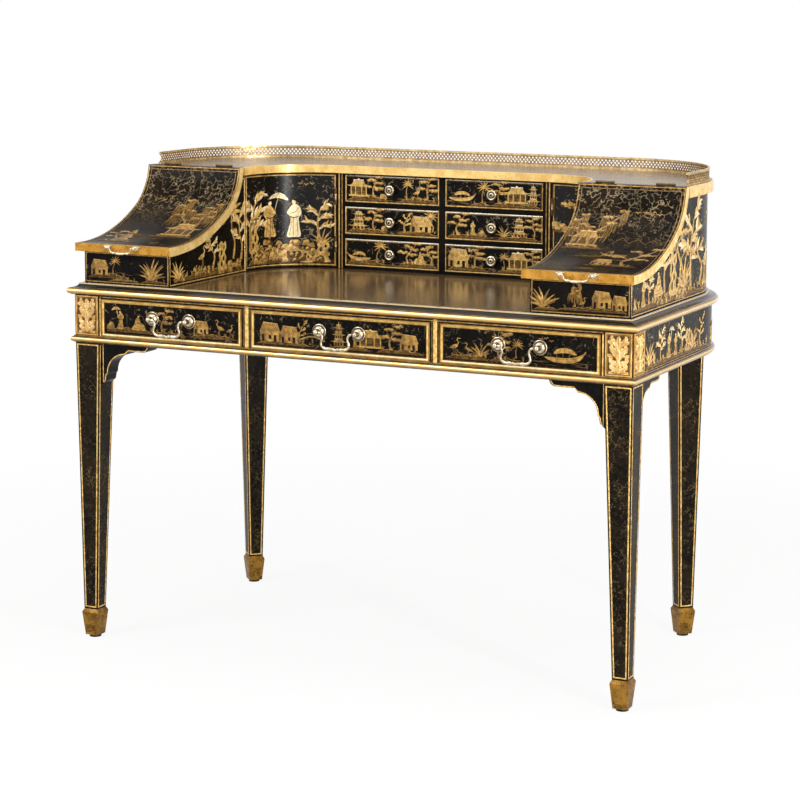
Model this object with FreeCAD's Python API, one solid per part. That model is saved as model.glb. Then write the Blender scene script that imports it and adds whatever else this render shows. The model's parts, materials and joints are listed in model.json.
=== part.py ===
import FreeCAD, Part

import math
import os

os.makedirs("parts", exist_ok=True)

V = FreeCAD.Vector

# Writing desk with a curved superstructure. Millimetres, +Z up, the front faces -Y.
# The origin lies on the floor, under the middle of the whole object.

# ------------------------------------------------------------------ driving dimensions
# Table
apron_width = 1240.0
apron_depth = 674.0
rear_corner_radius = 260.0
writing_height = 760.0
top_thickness = 23.0
frieze_height = 101.0
frieze_thickness = 18.0

# Mouldings round the table
moulding_reach = 60.0
top_bead_radius = 6.5
top_bead_above_underside = 7.5
top_edge_inset = 6.0
top_edge_flat = 2.5
cove_sag = 1.6
frieze_bead_clearance = 0.2
frieze_bead_reach = 8.0
frieze_bead_fillet = 2.5

# Legs
leg_top_width = 58.0
leg_bottom_width = 32.4
leg_taper_end = 62.0
foot_top = 55.0
foot_top_width = 39.6
foot_bottom_width = 29.4
leg_toe_out_x = 8.0
leg_toe_out_y = 3.0
rear_leg_toe_out = 5.0
glide_height = 5.0
glide_radius = 12.5

# Brackets between the front legs and the frieze
bracket_length = 115.0
bracket_drop = 87.0
bracket_thickness = 38.0
bracket_setback = 8.0
bracket_end_radius = 14.0
bracket_cove_radius = 41.0
bracket_cove_start = 56.0
bracket_step = 8.0
bracket_toe = 12.0
bracket_toe_taper = 2.4

# Drawer framing in the frieze
lower_rail_height = 15.0
upper_rail_height = 7.0
rail_depth = 22.0
divider_width = 20.0
divider_centre = 210.0
stile_width = 6.0
rear_rail_setback = 392.0
rear_rail_thickness = 18.0
runner_thickness = 12.0
runner_ledge = 20.0
guide_height = 40.0

# Frieze drawers
drawer_front_gap = 1.5
drawer_side_clearance = 0.5
drawer_run_clearance = 0.3
drawer_front_thickness = 20.0
drawer_side_thickness = 10.0
drawer_bottom_thickness = 6.0
drawer_bottom_raise = 6.0
drawer_box_drop = 8.0
drawer_stop_gap = 4.0
drawer_travel = 290.0
edge_bead_width = 6.0
edge_bead_reach = 2.5

# Drawer pulls
pull_above_middle = 5.7
pull_spacing = 87.0
rosette_radius = 15.0
rosette_face_radius = 10.5
rosette_thickness = 3.5
pull_post_radius = 3.5
pull_eye_radius = 4.6
bail_stand_off = 18.0
bail_radius = 2.6
bail_drop = 33.0
bail_pinch = 12.0
bail_eye_clearance = 0.4
# Turns of a bail's neck, as shares of its drop, its half width and its pinch
bail_shoulder_drop = 0.30
bail_shoulder_width = 0.94
bail_waist_drop = 0.62
bail_waist_pinch = 0.35
bail_heel_drop = 0.93
bail_flat_width = 0.45

# Carved panels on the corner blocks
ornament_frame_width = 4.0
ornament_frame_reach = 3.0
ornament_margin = 2.0
leaf_margin = 3.0
leaf_reach = 5.0
leaf_lobes = 5
leaf_lobe_points = 8
leaf_lobe_depth = 0.14

# Writing surface let into the desk top
board_thickness = 3.0
board_front_margin = 12.0
board_gap = 0.3
board_wing_margin = 1.0
board_rear_margin = 1.0

# Superstructure
shelf_thickness = 17.0
shelf_overhang = 12.0
shelf_band = 3.0
shelf_band_drop = 5.0
case_inset = 13.0
wall_thickness = 12.0
wing_front = 18.0
wing_width = 205.0
drawer_plane = 479.0

# Lids over the wings: a flat front, then two tangent arcs up to the shelf
lid_thickness = 17.0
lid_overhang_front = 17.0
lid_overhang_side = 12.0
lid_flat = 22.0
lid_front_radius = 398.0
lid_back_radius = 121.0
lid_change_angle = 32.0
lid_end_angle = 81.0
lid_seat_gap = 0.6
lid_joint = 2.8
lid_knuckle_radius = 2.5
lid_hinge_length = 40.0
lid_hinge_inset = 30.0
lid_leaf_height = 9.0
partition_gap = 1.5

# Lid handles
lid_handle_spacing = 66.0
lid_handle_drop = 13.0
lid_handle_below_top = 5.0
lid_handle_stand_off = 8.0
lid_handle_radius = 1.7
lid_plate_radius = 5.0
lid_plate_thickness = 2.0
lid_handle_eye = 3.2

# Drawer case
case_side = 20.0
case_centre = 12.0
case_floor = 5.4
case_divider = 8.0
case_head_rail = 2.4
case_rows = 3
small_drawer_height = 61.0
small_front_gap = 0.7
small_front_thickness = 10.0
small_side_thickness = 7.0
small_bottom_thickness = 4.0
small_bottom_raise = 4.0
small_box_drop = 6.0
small_run_clearance = 0.3
small_stop_gap = 6.0
small_drawer_travel = 115.0
knob_radius = 11.5
knob_length = 20.0
knob_neck_radius = 4.0
knob_rim = 3.0
knob_dish = 2.0
knob_dish_share = 0.6

# Concave doors
door_curve_radius = 146.0
door_thickness = 14.0
door_foot_gap = 3.0
door_free_gap = 1.5
door_joint = 2.4
door_leaf_thickness = 1.0
door_knuckle_radius = 2.5
door_hinge_length = 36.0
door_hinge_inset = 32.0
door_leaf_depth = 11.0
door_knob_radius = 6.0
door_knob_length = 14.0
door_knob_from_edge = 20.0

# Hinges
hinge_leaf_thickness = 1.2
hinge_pin_radius = 1.0
hinge_pin_clearance = 0.05
hinge_knuckle_gap = 0.3

# Gallery
gallery_inset = 10.0
gallery_base_height = 3.5
gallery_base_width = 6.0
gallery_rail_radius = 2.0
gallery_height = 26.0
gallery_sheet = 1.2
gallery_cell = 13.0
gallery_bar = 2.0
gallery_diamond_margin = 1.3
gallery_edge_margin = 2.6
gallery_start = 9.0

# ------------------------------------------------------------------ derived places
pull_reach = bail_stand_off + pull_eye_radius
top_bead_reach = 2 * top_bead_radius
y_front = -(apron_depth + top_bead_reach - pull_reach) / 2
half_width = apron_width / 2
corner_x = half_width - rear_corner_radius
corner_y = y_front + apron_depth - rear_corner_radius
top_underside = writing_height - top_thickness
frieze_bottom = top_underside - frieze_height
opening_bottom = frieze_bottom + lower_rail_height
opening_top = top_underside - upper_rail_height
frieze_bead_height = lower_rail_height - frieze_bead_clearance
pull_height = (opening_bottom + opening_top) / 2 + pull_above_middle
post_inner = half_width - leg_top_width
small_opening_height = small_drawer_height + 2 * small_front_gap
case_rise = case_rows * small_opening_height + (case_rows - 1) * case_divider
shelf_underside = writing_height + case_floor + case_rise + case_head_rail
shelf_top = shelf_underside + shelf_thickness
wing_outer = half_width - case_inset
wing_inner = wing_outer - wing_width
wing_front_y = y_front + wing_front
drawer_face_y = y_front + drawer_plane
case_outer_x = wing_inner - door_curve_radius
rear_rail_y = y_front + rear_rail_setback
FAR = 2000.0
shortest_edge = 1e-4


# ------------------------------------------------------------------ helpers
def box(x0, x1, y0, y1, z0, z1):
    return Part.makeBox(x1 - x0, y1 - y0, z1 - z0, V(x0, y0, z0))


def cylinder(radius, start, end):
    axis = end.sub(start)
    return Part.makeCylinder(radius, axis.Length, start, axis)


def polygon_face(points):
    return Part.Face(Part.makePolygon(list(points) + [points[0]]))


def line(start, end):
    return Part.LineSegment(start, end).toShape()


def arc(start, middle, end):
    return Part.Arc(start, middle, end).toShape()


def sagged_arc(start, end, sag):
    """Arc in the XZ plane, sunk by sag to the left of the way from start to end."""
    chord = end.sub(start)
    aside = V(-chord.z, 0, chord.x).normalize() * sag
    return arc(start, (start + end) * 0.5 + aside, end)


def mirrored(shape):
    return shape.mirror(V(0, 0, 0), V(1, 0, 0))


def both_sides(shape):
    return [mirrored(shape), shape]


def fuse(*shapes):
    joined = shapes[0]
    for shape in shapes[1:]:
        joined = joined.fuse(shape)
    return joined.removeSplitter()


def save(node, *solids):
    shape = solids[0] if len(solids) == 1 else Part.makeCompound(list(solids))
    shape.exportStep("parts/" + node + ".step")


def frustum(low, high):
    """Square frustum. Each end is (x, y, z, width, turn in degrees)."""
    rings = []
    for x, y, z, width, turn in (low, high):
        ring = []
        for corner in range(4):
            angle = math.radians(turn + 45 + 90 * corner)
            reach = width / math.sqrt(2)
            ring.append(V(x + reach * math.cos(angle), y + reach * math.sin(angle), z))
        rings.append(ring)
    faces = [polygon_face(rings[0]), polygon_face(rings[1])]
    for side in range(4):
        after = (side + 1) % 4
        faces.append(polygon_face([rings[0][side], rings[0][after], rings[1][after], rings[1][side]]))
    return Part.Solid(Part.Shell(faces))


def plan_face(offset, z, front=None):
    """Plan of the table moved out by offset: square in front, rounded at the rear."""
    half = half_width + offset
    radius = rear_corner_radius + offset
    if front is None:
        front = y_front - offset
    diagonal = radius * math.sqrt(0.5)
    right = V(half, corner_y, z)
    right_mid = V(corner_x + diagonal, corner_y + diagonal, z)
    rear_right = V(corner_x, corner_y + radius, z)
    rear_left = V(-corner_x, corner_y + radius, z)
    left_mid = V(-corner_x - diagonal, corner_y + diagonal, z)
    left = V(-half, corner_y, z)
    edges = [
        line(V(-half, front, z), V(half, front, z)),
        line(V(half, front, z), right),
        arc(right, right_mid, rear_right),
        line(rear_right, rear_left),
        arc(rear_left, left_mid, left),
        line(left, V(-half, front, z)),
    ]
    return Part.Face(Part.Wire(edges))


def plan_block(offset, z0, z1, front=None):
    return plan_face(offset, z0, front).extrude(V(0, 0, z1 - z0))


def wall_ring(outer, thickness, z0, z1):
    """Wall along the sides and the rear, open in front."""
    outside = plan_block(outer, z0, z1)
    inside = plan_block(outer - thickness, z0, z1, y_front - FAR)
    return outside.cut(inside)


def moulding(profile):
    """Run a profile round the whole table. The profile lies in the XZ plane; X is the offset."""
    reach = moulding_reach
    rear = corner_y + rear_corner_radius
    side_run = rear - rear_corner_radius - y_front + 2 * reach
    side = profile.copy()
    side.translate(V(half_width, y_front - 2 * reach, 0))
    side = side.extrude(V(0, side_run, 0))
    mitre = [
        V(half_width + reach, y_front - reach, 0),
        V(half_width + reach, corner_y, 0),
        V(half_width - reach, corner_y, 0),
        V(half_width - reach, y_front + reach, 0),
    ]
    side = side.common(polygon_face(mitre).extrude(V(0, 0, writing_height + reach)))
    corner = profile.copy()
    corner.translate(V(half_width, corner_y, 0))
    corner = corner.revolve(V(corner_x, corner_y, 0), V(0, 0, 1), 90)
    back = profile.copy()
    back.rotate(V(0, 0, 0), V(0, 0, 1), 90)
    back.translate(V(corner_x, rear, 0))
    back = back.extrude(V(-2 * corner_x, 0, 0))
    front = profile.copy()
    front.rotate(V(0, 0, 0), V(0, 0, 1), -90)
    front.translate(V(-half_width - 2 * reach, y_front, 0))
    front = front.extrude(V(apron_width + 4 * reach, 0, 0))
    wedge = [
        V(-half_width - reach, y_front - reach, 0),
        V(half_width + reach, y_front - reach, 0),
        V(half_width - reach, y_front + reach, 0),
        V(-half_width + reach, y_front + reach, 0),
    ]
    front = front.common(polygon_face(wedge).extrude(V(0, 0, writing_height + reach)))
    return fuse(front, side, corner, back, mirrored(corner), mirrored(side))


# ------------------------------------------------------------------ legs
def front_leg():
    """Right front leg: post, taper and spade foot in one piece."""
    x = half_width - leg_top_width / 2
    y = y_front + leg_top_width / 2
    foot_x = x + leg_toe_out_x
    foot_y = y - leg_toe_out_y
    post = box(post_inner, half_width, y_front, y_front + leg_top_width, frieze_bottom, top_underside)
    return fuse(post, *leg_below(x, y, foot_x, foot_y, 0))


def leg_below(x, y, foot_x, foot_y, turn):
    ankle = (foot_x, foot_y, leg_taper_end, leg_bottom_width, turn)
    spade = (foot_x, foot_y, foot_top, foot_top_width, turn)
    taper = frustum(ankle, (x, y, frieze_bottom, leg_top_width, turn))
    flare = frustum(spade, ankle)
    foot = frustum((foot_x, foot_y, glide_height, foot_bottom_width, turn), spade)
    return taper, flare, foot


def rear_leg_radius():
    """Distance of the rear leg's axis from the centre of the rounded corner."""
    return rear_corner_radius - leg_top_width / 2


def rear_leg_place(radius):
    return corner_x + radius * math.sqrt(0.5), corner_y + radius * math.sqrt(0.5)


def rear_leg():
    """Right rear leg, turned 45 degrees; its post is notched behind the bent frieze board."""
    x, y = rear_leg_place(rear_leg_radius())
    foot_x, foot_y = rear_leg_place(rear_leg_radius() + rear_leg_toe_out)
    block = frustum((x, y, frieze_bottom, leg_top_width, 45), (x, y, top_underside, leg_top_width, 45))
    bore = rear_corner_radius - frieze_thickness
    inside = Part.makeCylinder(bore, frieze_height, V(corner_x, corner_y, frieze_bottom))
    return fuse(block.common(inside), *leg_below(x, y, foot_x, foot_y, 45))


def foot_places():
    front_x = half_width - leg_top_width / 2 + leg_toe_out_x
    front_foot_y = y_front + leg_top_width / 2 - leg_toe_out_y
    rear_x, rear_y = rear_leg_place(rear_leg_radius() + rear_leg_toe_out)
    return [(front_x, front_foot_y), (rear_x, rear_y)]


def glides():
    solids = []
    for x, y in foot_places():
        glide = Part.makeCylinder(glide_radius, glide_height, V(x, y, 0))
        solids += both_sides(glide)
    return solids


def leg_inner_shift(drop, toe_out):
    """How far an inner face of the front leg has moved out at a depth below the frieze."""
    taper = (leg_top_width - leg_bottom_width) / 2
    return drop / (frieze_bottom - leg_taper_end) * (taper + toe_out)


def bracket_face():
    """Bracket outline: X runs away from the leg, Z is the depth below the frieze."""
    def at(a, b):
        return V(-a, 0, -b)

    shoulder = bracket_length - bracket_end_radius
    bend = bracket_end_radius * math.sqrt(0.5)
    cove_x = bracket_cove_start
    cove_top = bracket_end_radius + bracket_step
    cove_bend = bracket_cove_radius * math.sqrt(0.5)
    cove_end = cove_x - bracket_cove_radius
    cove_foot = cove_top + bracket_cove_radius
    toe_top = cove_foot + bracket_step / 2
    toe_low = bracket_toe - bracket_toe_taper
    edges = [
        line(at(0, 0), at(bracket_length, 0)),
        arc(at(bracket_length, 0), at(shoulder + bend, bend), at(shoulder, bracket_end_radius)),
        line(at(shoulder, bracket_end_radius), at(cove_x + bracket_step, bracket_end_radius)),
        line(at(cove_x + bracket_step, bracket_end_radius), at(cove_x, cove_top)),
        arc(
            at(cove_x, cove_top),
            at(cove_x - cove_bend, cove_foot - cove_bend),
            at(cove_end, cove_foot),
        ),
        line(at(cove_end, cove_foot), at(bracket_toe, toe_top)),
        line(at(bracket_toe, toe_top), at(toe_low, toe_top + bracket_toe)),
        line(at(toe_low, toe_top + bracket_toe), at(0, bracket_drop)),
        line(at(0, bracket_drop), at(0, 0)),
    ]
    return Part.Face(Part.Wire(edges))


def bracket(toe_out):
    """Bracket whose heel follows the leg's tapered inner face."""
    shift = leg_inner_shift(bracket_drop, toe_out)
    body = bracket_face().extrude(V(0, bracket_thickness, 0))
    heel = polygon_face([V(0, 0, 0), V(0, 0, -bracket_drop), V(shift, 0, -bracket_drop)])
    return fuse(body, heel.extrude(V(0, bracket_thickness, 0)))


def brackets():
    front = bracket(leg_toe_out_x)
    front.translate(V(post_inner, y_front + bracket_setback, frieze_bottom))
    side = bracket(leg_toe_out_y)
    side.rotate(V(0, 0, 0), V(0, 0, 1), -90)
    side.translate(V(half_width - bracket_setback - bracket_thickness, y_front + leg_top_width, frieze_bottom))
    return both_sides(front) + both_sides(side)


# ------------------------------------------------------------------ frieze and drawer framing
def side_frieze():
    ring = wall_ring(0, frieze_thickness, frieze_bottom, top_underside)
    keep = box(corner_x, FAR, y_front + leg_top_width, FAR, frieze_bottom, top_underside)
    return ring.common(keep)


def back_frieze():
    rear = y_front + apron_depth
    return box(-corner_x, corner_x, rear - frieze_thickness, rear, frieze_bottom, top_underside)


def frieze_bead():
    high = frieze_bottom + frieze_bead_height
    middle = frieze_bottom + frieze_bead_height / 2
    fillet = frieze_bead_fillet
    edges = [
        line(V(0, 0, frieze_bottom), V(fillet, 0, frieze_bottom)),
        line(V(fillet, 0, frieze_bottom), V(fillet, 0, frieze_bottom + fillet / 2)),
        arc(
            V(fillet, 0, frieze_bottom + fillet / 2),
            V(frieze_bead_reach, 0, middle - fillet / 4),
            V(fillet, 0, high - fillet),
        ),
        line(V(fillet, 0, high - fillet), V(fillet, 0, high)),
        line(V(fillet, 0, high), V(0, 0, high)),
        line(V(0, 0, high), V(0, 0, frieze_bottom)),
    ]
    return moulding(Part.Face(Part.Wire(edges)))


def rails():
    """Lower and upper front rail, with the stiles beside the posts and the two dividers."""
    y0, y1 = y_front, y_front + rail_depth
    lower = box(-post_inner, post_inner, y0, y1, frieze_bottom, opening_bottom)
    upper = box(-post_inner, post_inner, y0, y1, opening_top, top_underside)
    stile = box(post_inner - stile_width, post_inner, y0, y1, opening_bottom, opening_top)
    x0 = divider_centre - divider_width / 2
    divider = box(x0, x0 + divider_width, y0, y1, opening_bottom, opening_top)
    return [lower, upper] + both_sides(stile) + both_sides(divider)


def drawer_runners():
    """Rear rail, and a runner with a guide on each side of every drawer."""
    inner = half_width - frieze_thickness
    rear = box(-inner, inner, rear_rail_y, rear_rail_y + rear_rail_thickness, frieze_bottom, top_underside)
    z0 = opening_bottom - runner_thickness
    x0 = divider_centre - divider_width / 2
    x1 = x0 + divider_width
    y0 = y_front + rail_depth
    middle = box(x0 - runner_ledge, x1 + runner_ledge, y0, rear_rail_y, z0, opening_bottom)
    guide = box(x0, x1, y0, rear_rail_y, opening_bottom, opening_bottom + guide_height)
    y2 = y_front + leg_top_width
    stile_x = post_inner - stile_width
    outer = box(stile_x - runner_ledge, inner, y2, rear_rail_y, z0, opening_bottom)
    outer_guide = box(stile_x, inner, y2, rear_rail_y, opening_bottom, opening_bottom + guide_height)
    return [rear] + both_sides(middle) + both_sides(guide) + both_sides(outer) + both_sides(outer_guide)


def ornament(face_width):
    """Carved panel standing on the XZ plane at Y = 0, facing -Y, centred on X = 0."""
    low = frieze_bottom + frieze_bead_height + ornament_margin / 2
    high = top_underside - ornament_margin
    half = face_width / 2 - ornament_margin
    frame = box(-half, half, -ornament_frame_reach, 0, low, high)
    inner = half - ornament_frame_width
    frame = frame.cut(box(-inner, inner, -FAR, FAR, low + ornament_frame_width, high - ornament_frame_width))
    middle = (low + high) / 2
    leaf_half = inner - leaf_margin
    leaf_tall = (high - low) / 2 - ornament_frame_width - leaf_margin
    points = []
    count = leaf_lobe_points * leaf_lobes
    for step in range(count):
        angle = 2 * math.pi * step / count
        swell = 1 - leaf_lobe_depth + leaf_lobe_depth * math.cos(2 * leaf_lobes * angle)
        points.append(V(leaf_half * swell * math.sin(angle), 0, middle + leaf_tall * swell * math.cos(angle)))
    leaf = polygon_face(points).extrude(V(0, -leaf_reach, 0))
    return [frame, leaf]


def corner_ornaments():
    solids = []
    for piece in ornament(leg_top_width):
        front = piece.copy()
        front.translate(V(half_width - leg_top_width / 2, y_front, 0))
        side = piece.copy()
        side.rotate(V(0, 0, 0), V(0, 0, 1), 90)
        side.translate(V(half_width, y_front + leg_top_width / 2, 0))
        solids += both_sides(front) + both_sides(side)
    return solids


# ------------------------------------------------------------------ desk top
def board_limits():
    """Outline of the writing surface: half width, front and rear."""
    return wing_inner - board_wing_margin, y_front + board_front_margin, drawer_face_y - board_rear_margin


def desk_top():
    bead_middle = top_underside + top_bead_above_underside
    bead_top = bead_middle + top_bead_radius
    slab = plan_block(top_bead_radius, top_underside, bead_top)
    crown = plan_block(-top_edge_inset, bead_top, writing_height)
    low = V(top_bead_radius - 1, 0, bead_top)
    high = V(-top_edge_inset, 0, writing_height - top_edge_flat)
    heel = V(-top_edge_inset, 0, bead_top)
    hollow = sagged_arc(low, high, cove_sag)
    cove = Part.Face(Part.Wire([hollow, line(high, heel), line(heel, low)]))
    top = fuse(slab, crown, moulding(cove))
    half, front, rear = board_limits()
    pocket = box(-half, half, front, rear, writing_height - board_thickness, FAR)
    return top.cut(pocket)


def top_bead():
    middle = top_underside + top_bead_above_underside
    low = V(top_bead_radius, 0, middle - top_bead_radius)
    high = V(top_bead_radius, 0, middle + top_bead_radius)
    out = V(top_bead_reach, 0, middle)
    return moulding(Part.Face(Part.Wire([arc(low, out, high), line(high, low)])))


def writing_surface():
    half, front, rear = board_limits()
    gap = board_gap
    return box(
        -half + gap, half - gap, front + gap, rear - gap,
        writing_height - board_thickness, writing_height,
    )


# ------------------------------------------------------------------ frieze drawers
def drawer_spans():
    """Left and right edge of each drawer opening."""
    inner = divider_centre - divider_width / 2
    outer = divider_centre + divider_width / 2
    edge = post_inner - stile_width
    return {"left": (-edge, -outer), "middle": (-inner, inner), "right": (outer, edge)}


def drawer_front(x0, x1):
    """Drawer front with the raised bead round its face."""
    gap = drawer_front_gap
    z0 = opening_bottom + gap / 2
    z1 = opening_top - gap / 2
    panel = box(x0 + gap, x1 - gap, y_front, y_front + drawer_front_thickness, z0, z1)
    bead = box(x0 + gap, x1 - gap, y_front - edge_bead_reach, y_front, z0, z1)
    width = edge_bead_width
    bead = bead.cut(box(x0 + gap + width, x1 - gap - width, -FAR, FAR, z0 + width, z1 - width))
    return fuse(panel, bead)


def drawer_box(x0, x1):
    """Sides, back and bottom of a frieze drawer, as separate boards."""
    side = drawer_side_thickness
    left = x0 + drawer_front_gap + drawer_side_clearance
    right = x1 - drawer_front_gap - drawer_side_clearance
    y0 = y_front + drawer_front_thickness
    y1 = rear_rail_y - drawer_stop_gap
    z0 = opening_bottom + drawer_run_clearance
    z1 = opening_top - drawer_box_drop
    floor_z = z0 + drawer_bottom_raise
    return [
        box(left, left + side, y0, y1, z0, z1),
        box(right - side, right, y0, y1, z0, z1),
        box(left + side, right - side, y1 - side, y1, z0, z1),
        box(left + side, right - side, y0, y1 - side, floor_z, floor_z + drawer_bottom_thickness),
    ]


def pull_plates(centre):
    """Two turned rosettes, each with a post that carries one end of the bail."""
    solids = []
    for side in (-1, 1):
        x = centre + side * pull_spacing / 2
        plate = Part.makeCone(
            rosette_radius, rosette_face_radius, rosette_thickness,
            V(x, y_front, pull_height), V(0, -1, 0),
        )
        post_end = y_front - bail_stand_off
        post = cylinder(pull_post_radius, V(x, y_front, pull_height), V(x, post_end, pull_height))
        eye = Part.makeSphere(pull_eye_radius, V(x, post_end, pull_height))
        solids.append(fuse(plate, post, eye))
    return solids


def bail_path(half, drop, pinch, y, z):
    """Swan-neck line of a bail, from one pivot down, across and up to the other."""
    points = []
    for side in (-1, 1):
        leg = [
            V(side * half, y, z),
            V(side * half * bail_shoulder_width, y, z - drop * bail_shoulder_drop),
            V(side * (half - pinch * bail_waist_pinch), y, z - drop * bail_waist_drop),
            V(side * (half - pinch), y, z - drop * bail_heel_drop),
            V(side * (half - pinch) * bail_flat_width, y, z - drop),
        ]
        points += leg if side < 0 else leg[::-1]
    return points


def bail(centre, half, drop, pinch, y, z, radius):
    """Round bar along the swan-neck line, made of short straight runs with ball joints."""
    pieces = []
    points = [V(centre, 0, 0) + point for point in bail_path(half, drop, pinch, y, z)]
    for start, end in zip(points, points[1:]):
        pieces.append(cylinder(radius, start, end))
        pieces.append(Part.makeSphere(radius, end))
    pieces.pop()
    return fuse(*pieces)


def drawer_bail(centre):
    """Bail between the two posts, its ends just short of their eyes."""
    half = pull_spacing / 2 - pull_eye_radius - bail_radius - bail_eye_clearance
    return bail(centre, half, bail_drop, bail_pinch, y_front - bail_stand_off, pull_height, bail_radius)


# ------------------------------------------------------------------ lid curve
def lid_start():
    """Where the flat front of the lid's upper surface ends, and its height."""
    change = math.radians(lid_change_angle)
    end = math.radians(lid_end_angle)
    rise = lid_front_radius - (lid_front_radius - lid_back_radius) * math.cos(change)
    rise -= lid_back_radius * math.cos(end)
    return wing_front_y - lid_overhang_front + lid_flat, shelf_top - rise


def lid_point(angle, depth, x):
    """Point of the lid's curve, depth below its upper surface, at an angle in degrees."""
    y0, z0 = lid_start()
    turn = math.radians(angle)
    change = math.radians(lid_change_angle)
    radius = lid_front_radius
    centre_y = y0
    centre_z = z0 + lid_front_radius
    if angle > lid_change_angle:
        radius = lid_back_radius
        centre_y += (lid_front_radius - lid_back_radius) * math.sin(change)
        centre_z -= (lid_front_radius - lid_back_radius) * math.cos(change)
    reach = radius + depth
    return V(x, centre_y + reach * math.sin(turn), centre_z - reach * math.cos(turn))


def lid_head(depth, x):
    """The curve's end, carried on along its tangent up to the shelf's top."""
    end = lid_point(lid_end_angle, depth, x)
    extra = (shelf_top - end.z) / math.tan(math.radians(lid_end_angle))
    return V(x, end.y + extra, shelf_top)


def lid_curve(depth, x, front):
    """Edges of the curve at a depth, from the front to the head."""
    y0, z0 = lid_start()
    middle = (lid_change_angle + lid_end_angle) / 2
    joint = lid_point(lid_change_angle, depth, x)
    last = lid_point(lid_end_angle, depth, x)
    edges = [
        line(V(x, front, z0 - depth), V(x, y0, z0 - depth)),
        arc(V(x, y0, z0 - depth), lid_point(lid_change_angle / 2, depth, x), joint),
        arc(joint, lid_point(middle, depth, x), last),
    ]
    head = lid_head(depth, x)
    if head.sub(last).Length > shortest_edge:
        edges.append(line(last, head))
    return edges


def lid_face(x):
    """Side view of the lid."""
    front = wing_front_y - lid_overhang_front
    y0, z0 = lid_start()
    upper = lid_curve(0, x, front)
    lower = lid_curve(lid_thickness, x, front)
    close = [
        line(lid_head(0, x), lid_head(lid_thickness, x)),
        line(V(x, front, z0), V(x, front, z0 - lid_thickness)),
    ]
    return Part.Face(Part.Wire(Part.__sortEdges__(upper + lower + close)))


def lid_clearance():
    """Everything above the lid's underside, less a seat gap, across the whole desk."""
    depth = lid_thickness + lid_seat_gap
    front = wing_front_y - 3 * lid_overhang_front
    y0, z0 = lid_start()
    head = lid_head(depth, -FAR)
    high = shelf_top + lid_thickness
    edges = lid_curve(depth, -FAR, front)
    edges += [
        line(head, V(-FAR, head.y, high)),
        line(V(-FAR, head.y, high), V(-FAR, front, high)),
        line(V(-FAR, front, high), V(-FAR, front, z0 - depth)),
    ]
    face = Part.Face(Part.Wire(Part.__sortEdges__(edges)))
    return face.extrude(V(2 * FAR, 0, 0))


def lid_back_y():
    """Rear face of the lid at the level of the shelf's top."""
    return lid_head(lid_thickness, 0).y


def shelf_front_y():
    return lid_back_y() + lid_joint


# ------------------------------------------------------------------ superstructure walls
def wing_side():
    """Right outer wall: straight under the lid and the shelf, then bent round the rear corner."""
    ring = wall_ring(-case_inset, wall_thickness, writing_height, shelf_underside)
    keep = box(corner_x, FAR, wing_front_y, FAR, writing_height, shelf_underside)
    return ring.common(keep).cut(lid_clearance())


def upper_back():
    rear = y_front + apron_depth - case_inset
    return box(-corner_x, corner_x, rear - wall_thickness, rear, writing_height, shelf_underside)


def door_centre():
    """Axis of the concave corner between the wing and the drawer case, on the right."""
    return case_outer_x, drawer_face_y - door_curve_radius


def wing_box():
    """Front panel, inner side panel and rear partition of the right wing."""
    inner_outside = wing_outer - wall_thickness
    panel_x = wing_inner + wall_thickness
    panel_end = door_centre()[1] - door_free_gap
    top = shelf_underside
    low = writing_height
    front = box(panel_x, inner_outside, wing_front_y, wing_front_y + wall_thickness, low, top)
    side = box(wing_inner, panel_x, wing_front_y, panel_end, low, top)
    y0 = shelf_front_y() + partition_gap
    partition = box(panel_x, inner_outside, y0, y0 + wall_thickness, low, top)
    cut = lid_clearance()
    return [front.cut(cut), side.cut(cut), partition]


def case_boards():
    """Drawer case: two sides, a centre board, floors, dividers and head rails."""
    y0 = drawer_face_y
    y1 = y_front + apron_depth - case_inset - wall_thickness
    low = writing_height
    high = shelf_underside
    inner = case_centre / 2
    outer = case_outer_x - case_side
    boards = both_sides(box(outer, case_outer_x, y0, y1, low, high))
    boards.append(box(-inner, inner, y0, y1, low, high))
    z = low
    for row in range(case_rows):
        thick = case_floor if row == 0 else case_divider
        boards += both_sides(box(inner, outer, y0, y1, z, z + thick))
        z += thick + small_opening_height
    boards += both_sides(box(inner, outer, y0, y1, z, high))
    return boards


def row_bottom(row):
    """Floor of a drawer opening, counted from the lowest row."""
    return writing_height + case_floor + row * (small_opening_height + case_divider)


# ------------------------------------------------------------------ small drawers
def small_drawer(column, row):
    """Front, sides, back and bottom. The column is -1 or 1."""
    inner = case_centre / 2
    outer = case_outer_x - case_side
    gap = small_front_gap
    low = row_bottom(row)
    y0 = drawer_face_y
    y1 = y0 + small_front_thickness
    y2 = y_front + apron_depth - case_inset - wall_thickness - small_stop_gap
    front = box(inner + gap, outer - gap, y0, y1, low + gap, low + gap + small_drawer_height)
    side = small_side_thickness
    left = inner + 2 * gap
    right = outer - 2 * gap
    z0 = low + small_run_clearance
    z1 = low + small_opening_height - small_box_drop
    floor_z = z0 + small_bottom_raise
    boards = [
        front,
        box(left, left + side, y1, y2, z0, z1),
        box(right - side, right, y1, y2, z0, z1),
        box(left + side, right - side, y2 - side, y2, z0, z1),
        box(left + side, right - side, y1, y2 - side, floor_z, floor_z + small_bottom_thickness),
    ]
    return boards if column > 0 else [mirrored(board) for board in boards]


def knob_profile(radius, length, neck, rim, dish):
    """Half outline of a dished knob: X is the radius, Y the distance from its seat."""
    flange = neck + rim / 2
    points = [
        V(0, 0, 0),
        V(flange, 0, 0),
        V(flange, rim / 2, 0),
        V(neck, rim, 0),
        V(neck, length - 2 * rim, 0),
        V(radius, length - rim, 0),
        V(radius, length - rim / 3, 0),
        V(radius - rim / 2, length, 0),
        V(radius - rim, length, 0),
        V(neck * knob_dish_share, length - dish, 0),
        V(0, length - dish, 0),
    ]
    return polygon_face(points).revolve(V(0, 0, 0), V(0, 1, 0), 360)


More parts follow.
